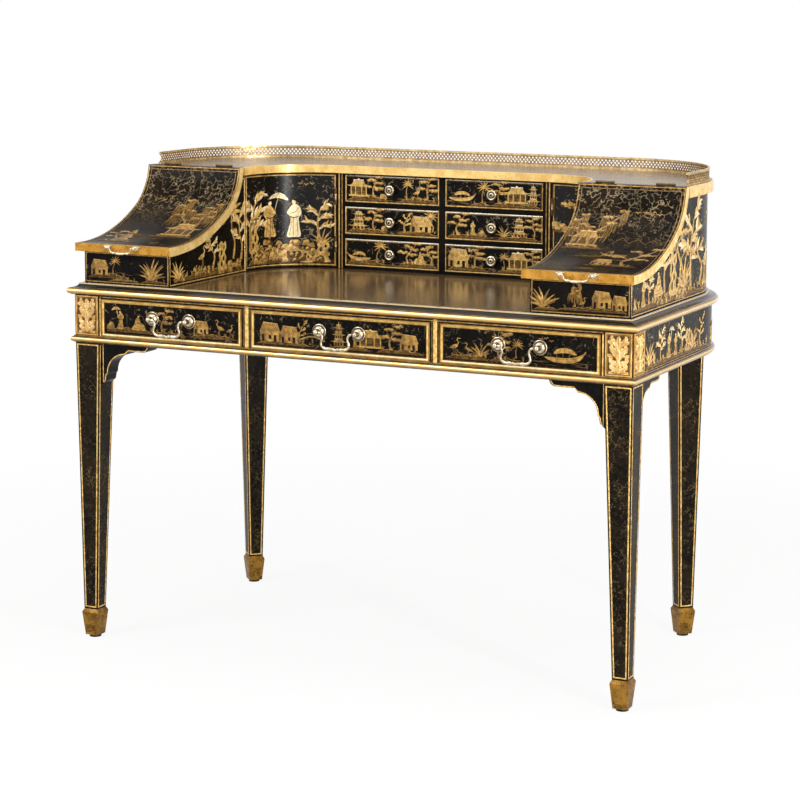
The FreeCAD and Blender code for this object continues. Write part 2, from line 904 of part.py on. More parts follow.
def small_knob(column, row):
    knob = knob_profile(knob_radius, knob_length, knob_neck_radius, knob_rim, knob_dish)
    knob.rotate(V(0, 0, 0), V(0, 0, 1), 180)
    x = column * (case_centre / 2 + case_outer_x - case_side) / 2
    z = row_bottom(row) + small_front_gap + small_drawer_height / 2
    knob.translate(V(x, drawer_face_y, z))
    return knob


# ------------------------------------------------------------------ shelf and its moulding
def shelf_face(inset, z):
    """Plan of the shelf: round the rear, back along the doors and the drawer case."""
    outer = shelf_overhang - case_inset - inset
    half = half_width + outer
    radius = rear_corner_radius + outer
    diagonal = radius * math.sqrt(0.5)
    inner_x = wing_inner - shelf_overhang + inset
    front_y = shelf_front_y()
    centre_x, centre_y = door_centre()
    bend = door_curve_radius - shelf_overhang + inset
    slant = bend * math.sqrt(0.5)
    right = [
        V(half, front_y, z),
        V(half, corner_y, z),
        V(corner_x + diagonal, corner_y + diagonal, z),
        V(corner_x, corner_y + radius, z),
        V(inner_x, front_y, z),
        V(inner_x, centre_y, z),
        V(centre_x + slant, centre_y + slant, z),
        V(centre_x, centre_y + bend, z),
    ]
    left = [V(-point.x, point.y, z) for point in right]
    edges = [line(right[3], left[3]), line(right[7], left[7])]
    for side in (right, left):
        edges += [
            line(side[0], side[1]),
            arc(side[1], side[2], side[3]),
            line(side[0], side[4]),
            line(side[4], side[5]),
            arc(side[5], side[6], side[7]),
        ]
    return Part.Face(Part.Wire(Part.__sortEdges__(edges)))


def shelf():
    return shelf_face(shelf_band, shelf_underside).extrude(V(0, 0, shelf_thickness))


def shelf_moulding():
    """Edge band of the shelf: along the front, and deeper along the sides and the rear."""
    whole = shelf_face(0, shelf_underside).extrude(V(0, 0, shelf_thickness))
    inside = shelf_face(shelf_band, shelf_underside).extrude(V(0, 0, shelf_thickness))
    band = whole.cut(inside)
    outer = shelf_overhang - case_inset
    drip = wall_ring(outer, shelf_band, shelf_underside - shelf_band_drop, shelf_underside)
    drip = drip.common(box(-FAR, FAR, shelf_front_y(), FAR, 0, FAR))
    return fuse(band, drip)


def gallery_path_offset():
    """Offset of the gallery's middle line from the table's plan."""
    return shelf_overhang - case_inset - gallery_inset


def gallery_keep():
    return box(-FAR, FAR, shelf_front_y() + gallery_start, FAR, 0, FAR)


def gallery_rails():
    """Base strip on the shelf, and the round top rail."""
    middle = gallery_path_offset()
    outer = middle + gallery_base_width / 2
    base = wall_ring(outer, gallery_base_width, shelf_top, shelf_top + gallery_base_height)
    high = shelf_top + gallery_height
    low = high - 2 * gallery_rail_radius
    rail = wall_ring(middle + gallery_rail_radius, 2 * gallery_rail_radius, low, high)
    return [base.common(gallery_keep()), rail.common(gallery_keep())]


def lattice_cutters(length, height):
    """Diamond and edge holes of a straight strip, as flat faces in the XZ plane."""
    count = int(length // gallery_cell)
    start = (length - count * gallery_cell) / 2
    bar = gallery_bar / 2
    half_x = gallery_cell / 2 - gallery_diamond_margin
    half_z = height / 2 - gallery_diamond_margin
    holes = []
    for cell in range(count):
        x = start + (cell + 0.5) * gallery_cell
        z = height / 2
        diamond = [V(x - half_x, 0, z), V(x, 0, z - half_z), V(x + half_x, 0, z), V(x, 0, z + half_z)]
        holes.append(diamond)
    for cell in range(count - 1):
        x = start + (cell + 1) * gallery_cell
        reach_x = gallery_cell / 2 - gallery_edge_margin
        reach_z = height / 2 - gallery_edge_margin
        holes.append([V(x - reach_x, 0, bar), V(x + reach_x, 0, bar), V(x, 0, reach_z)])
        holes.append([V(x - reach_x, 0, height - bar), V(x + reach_x, 0, height - bar), V(x, 0, height - reach_z)])
    return holes


def lattice_strip(length, height):
    """Pierced flat strip that starts at the origin and runs along +X, centred on Y = 0."""
    outline = Part.makePolygon([V(0, 0, 0), V(length, 0, 0), V(length, 0, height), V(0, 0, height), V(0, 0, 0)])
    wires = [outline]
    for hole in lattice_cutters(length, height):
        wires.append(Part.makePolygon(hole + [hole[0]]))
    strip = Part.Face(wires, "Part::FaceMakerBullseye").extrude(V(0, gallery_sheet, 0))
    strip.translate(V(0, -gallery_sheet / 2, 0))
    return strip


def gallery_lattice():
    """Pierced sheet between the rails: straight strips, and flat facets round the corners."""
    low = shelf_top + gallery_base_height
    height = gallery_height - gallery_base_height - 2 * gallery_rail_radius
    middle = gallery_path_offset()
    radius = rear_corner_radius + middle
    start_y = shelf_front_y() + gallery_start
    side = lattice_strip(corner_y - start_y, height)
    side.rotate(V(0, 0, 0), V(0, 0, 1), 90)
    side.translate(V(half_width + middle, start_y, low))
    back = lattice_strip(2 * corner_x, height)
    back.translate(V(-corner_x, corner_y + radius, low))
    facets = round(radius * math.pi / 2 / (2 * gallery_cell))
    step = 90.0 / facets
    chord = 2 * radius * math.sin(math.radians(step / 2))
    solids = both_sides(side) + [back]
    for facet in range(facets):
        piece = lattice_strip(chord, height)
        piece.rotate(V(0, 0, 0), V(0, 0, 1), 90 + step * (facet + 0.5))
        angle = math.radians(step * facet)
        piece.translate(V(corner_x + radius * math.cos(angle), corner_y + radius * math.sin(angle), low))
        solids += both_sides(piece)
    return solids


# ------------------------------------------------------------------ hinges
def knuckle(start, end, fixed, radius):
    """Barrel of a hinge. The fixed end parts carry the pin; the middle part turns on it."""
    axis = end.sub(start)
    third = axis * (1 / 3)
    gap = axis.normalize() * hinge_knuckle_gap
    first = start + third
    second = start + third * 2
    pin = cylinder(hinge_pin_radius, start, end)
    if fixed:
        return fuse(cylinder(radius, start, first), pin, cylinder(radius, second, end))
    barrel = cylinder(radius, first + gap, second - gap)
    return barrel.cut(cylinder(hinge_pin_radius + hinge_pin_clearance, start, end))


def barrel_room(start, end, fixed, radius):
    """Room that a leaf leaves for the other leaf's barrel, and for the pin."""
    third = (end.sub(start)) * (1 / 3)
    room = radius + hinge_knuckle_gap
    if fixed:
        return [cylinder(room, start + third, end.sub(third))]
    bore = cylinder(hinge_pin_radius + hinge_pin_clearance, start, end)
    return [bore, cylinder(room, start, start + third), cylinder(room, end.sub(third), end)]


def leaf_joint(start, end, fixed, radius, leaf):
    """Leaf joined to its barrel, and cut away where the other barrel and the pin turn."""
    for cutter in barrel_room(start, end, fixed, radius):
        leaf = leaf.cut(cutter)
    return fuse(knuckle(start, end, fixed, radius), leaf)


def lid_axis():
    """Hinge line of the lids: Y and Z."""
    return lid_back_y() + lid_joint / 2, shelf_top + lid_knuckle_radius


def lid_hinge_places():
    inner = wing_inner - lid_overhang_side + lid_hinge_inset
    outer = wing_outer + lid_overhang_side - lid_hinge_inset - lid_hinge_length
    return inner, outer


def lid_hinge(x, fixed):
    """One butt hinge of the right lid: both leaves stand in the joint behind the lid."""
    y, z = lid_axis()
    end_x = x + lid_hinge_length
    low = shelf_top - lid_leaf_height
    if fixed:
        leaf = box(x, end_x, shelf_front_y() - hinge_leaf_thickness, shelf_front_y(), low, z)
    else:
        leaf = box(x, end_x, lid_back_y(), lid_back_y() + hinge_leaf_thickness, low, z)
    return leaf_joint(V(x, y, z), V(end_x, y, z), fixed, lid_knuckle_radius, leaf)


def door_axis():
    """Hinge line of the right door: X and Y."""
    return case_outer_x + door_joint / 2, drawer_face_y - door_knuckle_radius


def door_hinge_places():
    low = writing_height + door_foot_gap + door_hinge_inset
    high = shelf_underside - door_foot_gap - door_hinge_inset - door_hinge_length
    return low, high


def door_hinge(z, fixed):
    """One butt hinge of the right door: both leaves stand in the joint beside the case."""
    x, y = door_axis()
    end_z = z + door_hinge_length
    deep = drawer_face_y + door_leaf_depth
    edge = case_outer_x + door_joint
    if fixed:
        leaf = box(case_outer_x, case_outer_x + door_leaf_thickness, y, deep, z, end_z)
    else:
        leaf = box(edge - door_leaf_thickness, edge, y, deep, z, end_z)
    return leaf_joint(V(x, y, z), V(x, y, end_z), fixed, door_knuckle_radius, leaf)


def fixed_hinges():
    solids = []
    for x in lid_hinge_places():
        solids += both_sides(lid_hinge(x, True))
    for z in door_hinge_places():
        solids += both_sides(door_hinge(z, True))
    return solids


# ------------------------------------------------------------------ lids
def lid():
    x0 = wing_inner - lid_overhang_side
    x1 = wing_outer + lid_overhang_side
    return lid_face(x0).extrude(V(x1 - x0, 0, 0))


def lid_middle():
    return (wing_inner + wing_outer) / 2


def lid_fittings():
    """Hinge leaves of the right lid, and the two plates that carry its drop handle."""
    solids = [lid_hinge(x, False) for x in lid_hinge_places()]
    y = wing_front_y - lid_overhang_front
    z = lid_start()[1] - lid_handle_below_top
    for side in (-1, 1):
        x = lid_middle() + side * lid_handle_spacing / 2
        plate = cylinder(lid_plate_radius, V(x, y, z), V(x, y - lid_plate_thickness, z))
        post = cylinder(lid_handle_radius, V(x, y, z), V(x, y - lid_handle_stand_off, z))
        eye = Part.makeSphere(lid_handle_eye, V(x, y - lid_handle_stand_off, z))
        solids.append(fuse(plate, post, eye))
    return solids


def lid_bail():
    half = lid_handle_spacing / 2 - lid_handle_eye - lid_handle_radius - bail_eye_clearance
    y = wing_front_y - lid_overhang_front - lid_handle_stand_off
    z = lid_start()[1] - lid_handle_below_top
    return bail(lid_middle(), half, lid_handle_drop, lid_handle_drop / 2, y, z, lid_handle_radius)


# ------------------------------------------------------------------ doors
def door():
    """Right concave door; its free end is bevelled so that it clears the wing as it swings."""
    centre_x, centre_y = door_centre()
    low = writing_height + door_foot_gap
    high = shelf_underside - door_foot_gap
    radius = door_curve_radius
    outside = Part.makeCylinder(radius + door_thickness, high - low, V(centre_x, centre_y, low))
    inside = Part.makeCylinder(radius, high - low, V(centre_x, centre_y, low))
    quarter = box(case_outer_x + door_joint, FAR, centre_y, FAR, low, high)
    hinge_x, hinge_y = door_axis()
    corner = V(wing_inner, centre_y - door_free_gap, 0)
    swing = corner.sub(V(hinge_x, hinge_y, 0)).Length - door_free_gap
    sweep = Part.makeCylinder(swing, high - low, V(hinge_x, hinge_y, low))
    return outside.cut(inside).common(quarter).common(sweep)


def door_fittings():
    """Hinge leaves and the turned knob of the right door."""
    solids = [door_hinge(z, False) for z in door_hinge_places()]
    centre_x, centre_y = door_centre()
    turn = door_knob_from_edge / door_curve_radius
    rim = door_knob_radius / 3
    knob = knob_profile(door_knob_radius, door_knob_length, rim, rim, rim / 2)
    knob.rotate(V(0, 0, 0), V(0, 0, 1), 90 + math.degrees(turn))
    seat = math.sqrt(door_curve_radius ** 2 - door_knob_radius ** 2)
    middle = (writing_height + shelf_underside) / 2
    knob.translate(V(centre_x + seat * math.cos(turn), centre_y + seat * math.sin(turn), middle))
    return solids + [knob]


# ------------------------------------------------------------------ build
def build_table():
    leg = front_leg()
    save("front_left_leg", mirrored(leg))
    save("front_right_leg", leg)
    leg = rear_leg()
    save("rear_left_leg", mirrored(leg))
    save("rear_right_leg", leg)
    save("foot_glides", *glides())
    save("corner_brackets", *brackets())
    frieze = side_frieze()
    save("left_frieze", mirrored(frieze))
    save("right_frieze", frieze)
    save("back_frieze", back_frieze())
    save("frieze_bead", frieze_bead())
    save("drawer_framing", *rails(), *drawer_runners())
    save("corner_ornaments", *corner_ornaments())
    save("desk_top", desk_top())
    save("top_bead", top_bead())
    save("writing_surface", writing_surface())


def build_frieze_drawers():
    for name, (x0, x1) in drawer_spans().items():
        centre = (x0 + x1) / 2
        save(name + "_drawer_front", drawer_front(x0, x1))
        save(name + "_drawer_box", *drawer_box(x0, x1))
        save(name + "_drawer_pull_plates", *pull_plates(centre))
        save(name + "_drawer_bail", drawer_bail(centre))


def build_superstructure():
    wall = wing_side()
    save("left_wing_side", mirrored(wall))
    save("right_wing_side", wall)
    save("upper_back", upper_back())
    boards = wing_box()
    save("left_wing_box", *[mirrored(board) for board in boards])
    save("right_wing_box", *boards)
    save("drawer_case", *case_boards())
    save("shelf", shelf())
    save("shelf_moulding", shelf_moulding())
    save("gallery_rails", *gallery_rails())
    save("gallery_lattice", *gallery_lattice())
    save("fixed_hinges", *fixed_hinges())


def build_small_drawers():
    for column, side in ((-1, "left"), (1, "right")):
        for row in range(case_rows):
            name = side + "_small_drawer_" + str(row + 1)
            save(name, *small_drawer(column, row))
            save(name + "_knob", small_knob(column, row))


def build_lids_and_doors():
    board = lid()
    fittings = lid_fittings()
    handle = lid_bail()
    leaf = door()
    leaf_fittings = door_fittings()
    save("right_lid", board)
    save("right_lid_fittings", *fittings)
    save("right_lid_bail", handle)
    save("right_door", leaf)
    save("right_door_fittings", *leaf_fittings)
    save("left_lid", mirrored(board))
    save("left_lid_fittings", *[mirrored(piece) for piece in fittings])
    save("left_lid_bail", mirrored(handle))
    save("left_door", mirrored(leaf))
    save("left_door_fittings", *[mirrored(piece) for piece in leaf_fittings])


build_table()
build_frieze_drawers()
build_superstructure()
build_small_drawers()
build_lids_and_doors()
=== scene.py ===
"""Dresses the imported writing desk: black lacquer, gilding, silvered fittings and raised gilt pictures.

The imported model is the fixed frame. Its boards keep their shape and get their finishes here, the
turned and carved fittings are rebuilt in detail, and the pictures are raised work on the panels.
Shapes are in millimetres in the desk's frame; finishes, light and camera are in metres.
"""

from __future__ import annotations

import json
import logging
import math
import random
from dataclasses import dataclass, field
from enum import Enum
from functools import partial
from typing import Callable, Sequence

import bmesh
import bpy
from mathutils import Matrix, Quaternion, Vector
from mathutils.geometry import tessellate_polygon

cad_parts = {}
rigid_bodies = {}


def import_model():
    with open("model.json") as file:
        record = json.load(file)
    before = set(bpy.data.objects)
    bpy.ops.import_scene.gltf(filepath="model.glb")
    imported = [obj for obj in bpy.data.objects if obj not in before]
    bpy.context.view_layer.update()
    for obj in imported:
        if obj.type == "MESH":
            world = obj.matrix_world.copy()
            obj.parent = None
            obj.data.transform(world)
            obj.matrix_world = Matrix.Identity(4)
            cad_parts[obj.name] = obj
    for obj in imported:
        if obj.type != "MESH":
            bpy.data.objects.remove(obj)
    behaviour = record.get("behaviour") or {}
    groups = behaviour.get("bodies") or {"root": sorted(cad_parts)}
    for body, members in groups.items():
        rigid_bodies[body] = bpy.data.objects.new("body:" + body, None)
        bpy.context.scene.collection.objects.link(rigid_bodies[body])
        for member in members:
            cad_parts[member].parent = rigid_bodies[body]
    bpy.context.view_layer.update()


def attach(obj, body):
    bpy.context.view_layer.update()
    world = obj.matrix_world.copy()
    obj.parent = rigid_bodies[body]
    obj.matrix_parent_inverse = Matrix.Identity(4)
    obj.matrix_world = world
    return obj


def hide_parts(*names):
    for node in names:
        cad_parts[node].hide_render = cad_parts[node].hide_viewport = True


LOG = logging.getLogger("desk")
MM = 0.001
TURN = 2 * math.pi
SIDES = ((-1, "left"), (1, "right"))
# Share of a noise's range over which a tone goes from one colour to the other.
SOFT = (0.36, 0.64)
Point = tuple[float, float]
Spot = tuple[float, float, float]
Color = tuple[float, float, float, float]
Socket = bpy.types.NodeSocket
Outputs = bpy.types.NodeOutputs


def shade(red: int, green: int, blue: int) -> Color:
    """Turns a display colour into a linear one.

    Args:
        red, green, blue: Its parts, 0 to 255.

    Returns:
        The linear colour with full alpha.
    """
    shares = [value / 255 for value in (red, green, blue)]
    linear = [s / 12.92 if s <= 0.04045 else ((s + 0.055) / 1.055) ** 2.4 for s in shares]
    return (*linear, 1.0)


def placed(name: str, data: bpy.types.ID) -> bpy.types.Object:
    """Puts a new object into the scene.

    Args:
        name: Name of the object.
        data: Its mesh, light or camera.

    Returns:
        The object.
    """
    made = bpy.data.objects.new(name, data)
    bpy.context.scene.collection.objects.link(made)
    return made


# ---------------------------------------------------------------- shader helpers
class Graph:
    """Short calls that add nodes and links to one node tree."""

    def __init__(self, tree: bpy.types.NodeTree) -> None:
        """Keeps the tree that the calls add to."""
        self.tree = tree

    @classmethod
    def fresh(cls, owner: bpy.types.Material | bpy.types.World) -> Graph:
        """Empties the node tree of a material or world.

        Args:
            owner: The material or world.

        Returns:
            A graph that fills its tree.
        """
        owner.use_nodes = True
        owner.node_tree.nodes.clear()
        return cls(owner.node_tree)

    def add(self, kind: str, inputs: dict | None = None, **settings: object) -> bpy.types.Node:
        """Adds one node.

        Args:
            kind: Node type.
            inputs: Value or socket for each input, by name or number.
            settings: Properties of the node.

        Returns:
            The new node.
        """
        node = self.tree.nodes.new(kind)
        for key, value in settings.items():
            setattr(node, key, value)
        for key, value in (inputs or {}).items():
            if isinstance(value, Socket):
                self.tree.links.new(value, node.inputs[key])
            else:
                node.inputs[key].default_value = value
        return node

    def seen(self, name: str) -> Socket:
        """Returns the position or the normal in object space."""
        return self.add("ShaderNodeTexCoord").outputs[name]

    def split(self, vector: Socket) -> Outputs:
        """Returns the three parts of a vector."""
        return self.add("ShaderNodeSeparateXYZ", {0: vector}).outputs

    def shared(self, group: bpy.types.NodeTree, place: Socket, **values: float) -> Outputs:
        """Places a shared effect with its number inputs and returns its outputs."""
        return self.add("ShaderNodeGroup", {"Vector": place, **values}, node_tree=group).outputs

    def math(self, operation: str, *values: Socket | float) -> Socket:
        """Adds a Math node and returns its result."""
        return self.add("ShaderNodeMath", dict(enumerate(values)), operation=operation).outputs[0]

    def blend(self, share: Socket | float, low: Socket | Color, high: Socket | Color) -> Socket:
        """Mixes two colours: low where share is 0, high where it is 1."""
        return self.add("ShaderNodeMix", {0: share, 6: low, 7: high}, data_type="RGBA").outputs[2]

    def level(self, share: Socket | float, low: Socket | float, high: Socket | float) -> Socket:
        """Mixes two numbers: low where share is 0, high where it is 1."""
        return self.add("ShaderNodeMix", {0: share, 2: low, 3: high}, data_type="FLOAT").outputs[0]

    def step(self, value: Socket, start: Socket | float, end: Socket | float) -> Socket:
        """Rises smoothly from 0 at start to 1 at end."""
        inputs = {0: value, 1: start, 2: end}
        return self.add("ShaderNodeMapRange", inputs, interpolation_type="SMOOTHSTEP").outputs[0]

    def noise(self, place: Socket, scale: Socket | float, detail: float = 2.0) -> Socket:
        """Adds a noise texture with the given cells per metre and returns its value."""
        inputs = {"Vector": place, "Scale": scale, "Detail": detail}
        return self.add("ShaderNodeTexNoise", inputs).outputs["Fac"]

    def mapped(self, place: Socket, **values: Spot) -> Socket:
        """Moves or scales a position."""
        return self.add("ShaderNodeMapping", {"Vector": place, **values}).outputs[0]


class SharedEffects:
    """The node groups that more than one finish uses, each built once."""

    stroke_sets = (0.0, 3.7)

    def __init__(self) -> None:
        """Builds every group."""
        self.crackle = self._crackle()
        self.mottle = self._mottle()
        self.speckle = self._speckle()
        self.grain = self._grain()

    @staticmethod
    def _new(name: str, outputs: Sequence[str], **values: float) -> tuple[Graph, Outputs]:
        """Starts a group that has a Vector input.

        Args:
            name: Name of the group.
            outputs: Its number outputs.
            values: Its number inputs with their defaults.

        Returns:
            The group's graph and its inputs.
        """
        tree = bpy.data.node_groups.new(name, "ShaderNodeTree")
        tree.interface.new_socket(name="Vector", in_out="INPUT", socket_type="NodeSocketVector")
        for label, default in values.items():
            socket = tree.interface.new_socket(name=label, in_out="INPUT", socket_type="NodeSocketFloat")
            socket.default_value = default
        for label in outputs:
            tree.interface.new_socket(name=label, in_out="OUTPUT", socket_type="NodeSocketFloat")
        graph = Graph(tree)
        return graph, graph.add("NodeGroupInput").outputs

    def _crackle(self) -> bpy.types.NodeTree:
        """Builds the short curling strokes in old lacquer: level lines of a noise, broken by another."""
        graph, ins = self._new("Crackle", ("Mask", "Shade"), Cells=45.0, Width=0.02, Cover=0.5)
        gone = graph.math("SUBTRACT", 1.0, ins["Cover"])
        strokes: Socket | float = 0.0
        for shift in self.stroke_sets:
            moved = graph.mapped(ins["Vector"], Location=(shift, 0.0, shift))
            wave = graph.noise(moved, ins["Cells"], 2.5)
            near = graph.math("ABSOLUTE", graph.math("SUBTRACT", wave, 0.5))
            rise = graph.step(near, graph.math("MULTIPLY", ins["Width"], 0.35), ins["Width"])
            line = graph.math("SUBTRACT", 1.0, rise)
            breaks = graph.noise(moved, graph.math("MULTIPLY", ins["Cells"], 1.5), 1.0)
            kept = graph.step(breaks, gone, graph.math("ADD", gone, 0.09))
            strokes = graph.math("MAXIMUM", strokes, graph.math("MULTIPLY", line, kept))
        broad = graph.noise(ins["Vector"], graph.math("MULTIPLY", ins["Cells"], 0.3))
        graph.add("NodeGroupOutput", {"Mask": strokes, "Shade": graph.step(broad, *SOFT)})
        return graph.tree

    def _mottle(self) -> bpy.types.NodeTree:
        """Builds the soft uneven tone of laid gold and hand-rubbed surfaces."""
        graph, ins = self._new("Mottle", ("Value", "Fine"), Cells=60.0)
        broad = graph.noise(ins["Vector"], ins["Cells"], 3.0)
        fine = graph.noise(ins["Vector"], graph.math("MULTIPLY", ins["Cells"], 7.0), 3.0)
        value = graph.step(graph.level(0.35, broad, fine), *SOFT)
        graph.add("NodeGroupOutput", {"Value": value, "Fine": fine})
        return graph.tree

    def _speckle(self) -> bpy.types.NodeTree:
        """Builds the fine dark specks of bole that show through rubbed gold."""
        graph, ins = self._new("Speckle", ("Mask",), Cells=500.0, Cover=0.3)
        dots = graph.noise(ins["Vector"], ins["Cells"], 4.0)
        clouds = graph.noise(ins["Vector"], graph.math("MULTIPLY", ins["Cells"], 0.11))
        both = graph.math("MULTIPLY_ADD", clouds, 0.5, dots)
        low = graph.math("SUBTRACT", 0.98, graph.math("MULTIPLY", ins["Cover"], 0.5))
        graph.add("NodeGroupOutput", {"Mask": graph.step(both, low, graph.math("ADD", low, 0.08))})
        return graph.tree

    def _grain(self) -> bpy.types.NodeTree:
        """Builds wood grain; the vector is squeezed along the way the grain runs."""
        graph, ins = self._new("Grain", ("Value", "Pores"), Cells=40.0)
        bend = graph.noise(ins["Vector"], graph.math("MULTIPLY", ins["Cells"], 0.3))
        rings = graph.math("SINE", graph.math("MULTIPLY", bend, 60.0))
        broad = graph.noise(ins["Vector"], ins["Cells"], 3.0)
        rings = graph.math("MULTIPLY_ADD", rings, 0.5, 0.5)
        pores = graph.noise(ins["Vector"], graph.math("MULTIPLY", ins["Cells"], 6.0))
        value = graph.level(0.25, broad, rings)
        graph.add("NodeGroupOutput", {"Value": value, "Pores": graph.step(pores, 0.55, 0.7)})
        return graph.tree


# ---------------------------------------------------------------- finishes
@dataclass
class Surface:
    """What a finish shows at each point: its colour, roughness, metal share and relief."""

    color: Socket | Color
    roughness: Socket | float
    metallic: Socket | float
    height: Socket | float


class Zone(Enum):
    """The part of a board that the second of its two finishes covers.

    Each holds whether the place or the normal is tested, along which axis, how, and the limit.
    """

    FOOT = ("place", "Z", "LESS_THAN", 0.0621)
    LID_EDGE = ("place", "Y", "LESS_THAN", -0.3308)
    # Sides of a lid, facing left or right, which get a painted highlight.
    LID_SIDE = ("normal", "X", "GREATER_THAN", 0.7)
    FRONT_BEAD = ("place", "Y", "LESS_THAN", -0.3325)
    BEHIND_SMALL_FRONT = ("place", "Y", "GREATER_THAN", 0.1560)
    BEHIND_RAIL = ("place", "Y", "GREATER_THAN", -0.3318)
    SHELF_TOP = ("normal", "Z", "GREATER_THAN", 0.9)
    DESK_UPPER = ("place", "Z", "GREATER_THAN", 0.7597)
    HANDLE_PLATES = ("place", "Y", "LESS_THAN", -0.2)

    def mask(self, graph: Graph, place: Socket, normal: Socket) -> Socket:
        """Marks the zone; a lid's edges are its front and its two sides.

        Args:
            graph: Graph to add to.
            place: Position in object space.
            normal: Normal in object space.

        Returns:
            A socket that is 1 in the zone and 0 elsewhere.
        """
        parts = {"place": graph.split(place), "normal": graph.split(normal)}
        source, axis, test, limit = self.value
        if self not in (Zone.LID_EDGE, Zone.LID_SIDE):
            return graph.math(test, parts[source][axis], limit)
        _, across, beyond, least = Zone.LID_SIDE.value
        side = graph.math(beyond, graph.math("ABSOLUTE", parts["normal"][across]), least)
        if self is Zone.LID_SIDE:
            return side
        return graph.math("MAXIMUM", side, graph.math(test, parts[source][axis], limit))


@dataclass(frozen=True)
class Finish:
    """A finish that can be made into a material.

    Attributes:
        relief: Depth of the fine relief.
        coat: Weight of the clear varnish over it.
    """

    name: str
    specular: float = 0.5
    relief: float = 0.00008
    coat: float = 0.0

    def surface(self, graph: Graph, effects: SharedEffects, place: Socket) -> Surface:
        """Returns the sockets of this finish.

        Args:
            graph: Graph to add to.
            effects: The shared node groups.
            place: Position in object space.

        Returns:
            The sockets.
        """
        raise NotImplementedError

    def material(self, effects: SharedEffects) -> bpy.types.Material:
        """Builds the material.

        Args:
            effects: The shared node groups.

        Returns:
            The new material.
        """
        made = bpy.data.materials.new(self.name)
        graph = Graph.fresh(made)
        look = self.surface(graph, effects, graph.seen("Object"))
        inputs = {
            "Base Color": look.color, "Roughness": look.roughness, "Metallic": look.metallic,
            "Specular IOR Level": self.specular, "Coat Weight": self.coat, "Coat Roughness": 0.12,
        }
        if isinstance(look.height, Socket):
            bump = graph.add("ShaderNodeBump", {"Height": look.height, "Distance": self.relief})
            inputs["Normal"] = bump.outputs["Normal"]
        shader = graph.add("ShaderNodeBsdfPrincipled", inputs)
        graph.add("ShaderNodeOutputMaterial", {"Surface": shader.outputs[0]})
        return made


@dataclass(frozen=True)
class Lacquer(Finish):
    """Black lacquer, clouded in places, with a net of faint and strong cracks.

    Attributes:
        cells: Curls of the cracks per metre.
        cover: Share of the cracks that is left.
        painted_light_fade: Heights between which the cracks come in; below them the cracks are faded out as
            painted light, for the light that shows them only on a lid's upper curve.
    """

    ground: Color = shade(9, 8, 7)
    cloud: Color = shade(22, 18, 14)
    crack: Color = shade(74, 66, 54)
    bright_crack: Color = shade(158, 142, 112)
    cells: float = 46.0
    width: float = 0.017
    cover: float = 0.5
    gloss: float = 0.24
    painted_light_fade: Point | None = None

    def surface(self, graph: Graph, effects: SharedEffects, place: Socket) -> Surface:
        """Returns the lacquer's sockets, with cracks that are duller than the ground.

        Args:
            graph, effects, place: As in Finish.

        Returns:
            The sockets.
        """
        net = graph.shared(effects.crackle, place, Cells=self.cells, Width=self.width, Cover=self.cover)
        mottle = graph.shared(effects.mottle, place, Cells=14.0)
        ground = graph.blend(mottle["Value"], self.ground, self.cloud)
        line = graph.blend(net["Shade"], self.crack, self.bright_crack)
        mask = net["Mask"]
        # Painted light: below the given heights the cracks fade out, standing in for the light that shows
        # them only on the upper curve of a lid.
        if self.painted_light_fade:
            mask = graph.math("MULTIPLY", mask, graph.step(graph.split(place)["Z"], *self.painted_light_fade))
        color = graph.blend(mask, ground, line)
        rough = graph.level(mask, self.gloss, self.gloss + 0.2)
        return Surface(color, graph.math("MULTIPLY_ADD", mottle["Fine"], 0.08, rough), 0.0, mask)


@dataclass(frozen=True)
class Gilding(Finish):
    """Gold leaf or gold paint, uneven and specked with the dark ground below.

    Attributes:
        deep: Colour where it is thin.
        speck: Colour of the ground that shows through.
        specks: Share of dark specks.
    """

    gold: Color = shade(214, 170, 92)
    deep: Color = shade(160, 112, 44)
    speck: Color = shade(84, 52, 18)
    cells: float = 55.0
    specks: float = 0.3
    metal: float = 0.75
    rough: float = 0.34

    def surface(self, graph: Graph, effects: SharedEffects, place: Socket) -> Surface:
        """Returns the gilding's sockets, with specks that are less metallic than the leaf.

        Args:
            graph, effects, place: As in Finish.

        Returns:
            The sockets.
        """
        mottle = graph.shared(effects.mottle, place, Cells=self.cells)
        dots = graph.shared(effects.speckle, place, Cells=430.0, Cover=self.specks)
        leaf = graph.blend(mottle["Value"], self.deep, self.gold)
        color = graph.blend(dots["Mask"], leaf, self.speck)
        metal = graph.level(dots["Mask"], self.metal, self.metal * 0.4)
        rough = graph.math("MULTIPLY_ADD", mottle["Fine"], 0.16, self.rough - 0.08)
        return Surface(color, rough, metal, mottle["Fine"])


@dataclass(frozen=True)
class Paint(Gilding):
    """Gold paint of the pictures, finer in its unevenness than leaf."""

    cells: float = 130.0
    metal: float = 0.2


@dataclass(frozen=True)
class Banded(Finish):
    """Gilding on a moulding, with a painted highlight along its crest and painted shade towards its hollows.

    Attributes:
        bands: Height and colour of each change, lowest first; the pale bands are painted highlight and the
            dark ones painted shade.
    """

    base: Gilding | None = None
    bands: tuple[tuple[float, Color], ...] = ()

    def surface(self, graph: Graph, effects: SharedEffects, place: Socket) -> Surface:
        """Returns the moulding's sockets, whose colour follows the height.

        Args:
            graph, effects, place: As in Finish.

        Returns:
            The sockets.
        """
        look = self.base.surface(graph, effects, place)
        height = graph.split(place)["Z"]
        # Painted light: the colour follows the height, pale where the roll would catch the light and dark
        # where it would lie in shade.
        color: Socket | Color = self.bands[0][1]
        for (low, _), (high, tone) in zip(self.bands, self.bands[1:]):
            color = graph.blend(graph.step(height, low, high), color, tone)
        mottle = graph.shared(effects.mottle, place, Cells=self.base.cells)
        share = graph.math("MULTIPLY", mottle["Value"], 0.16)
        return Surface(graph.blend(share, color, look.color), look.roughness, look.metallic, 0.0)


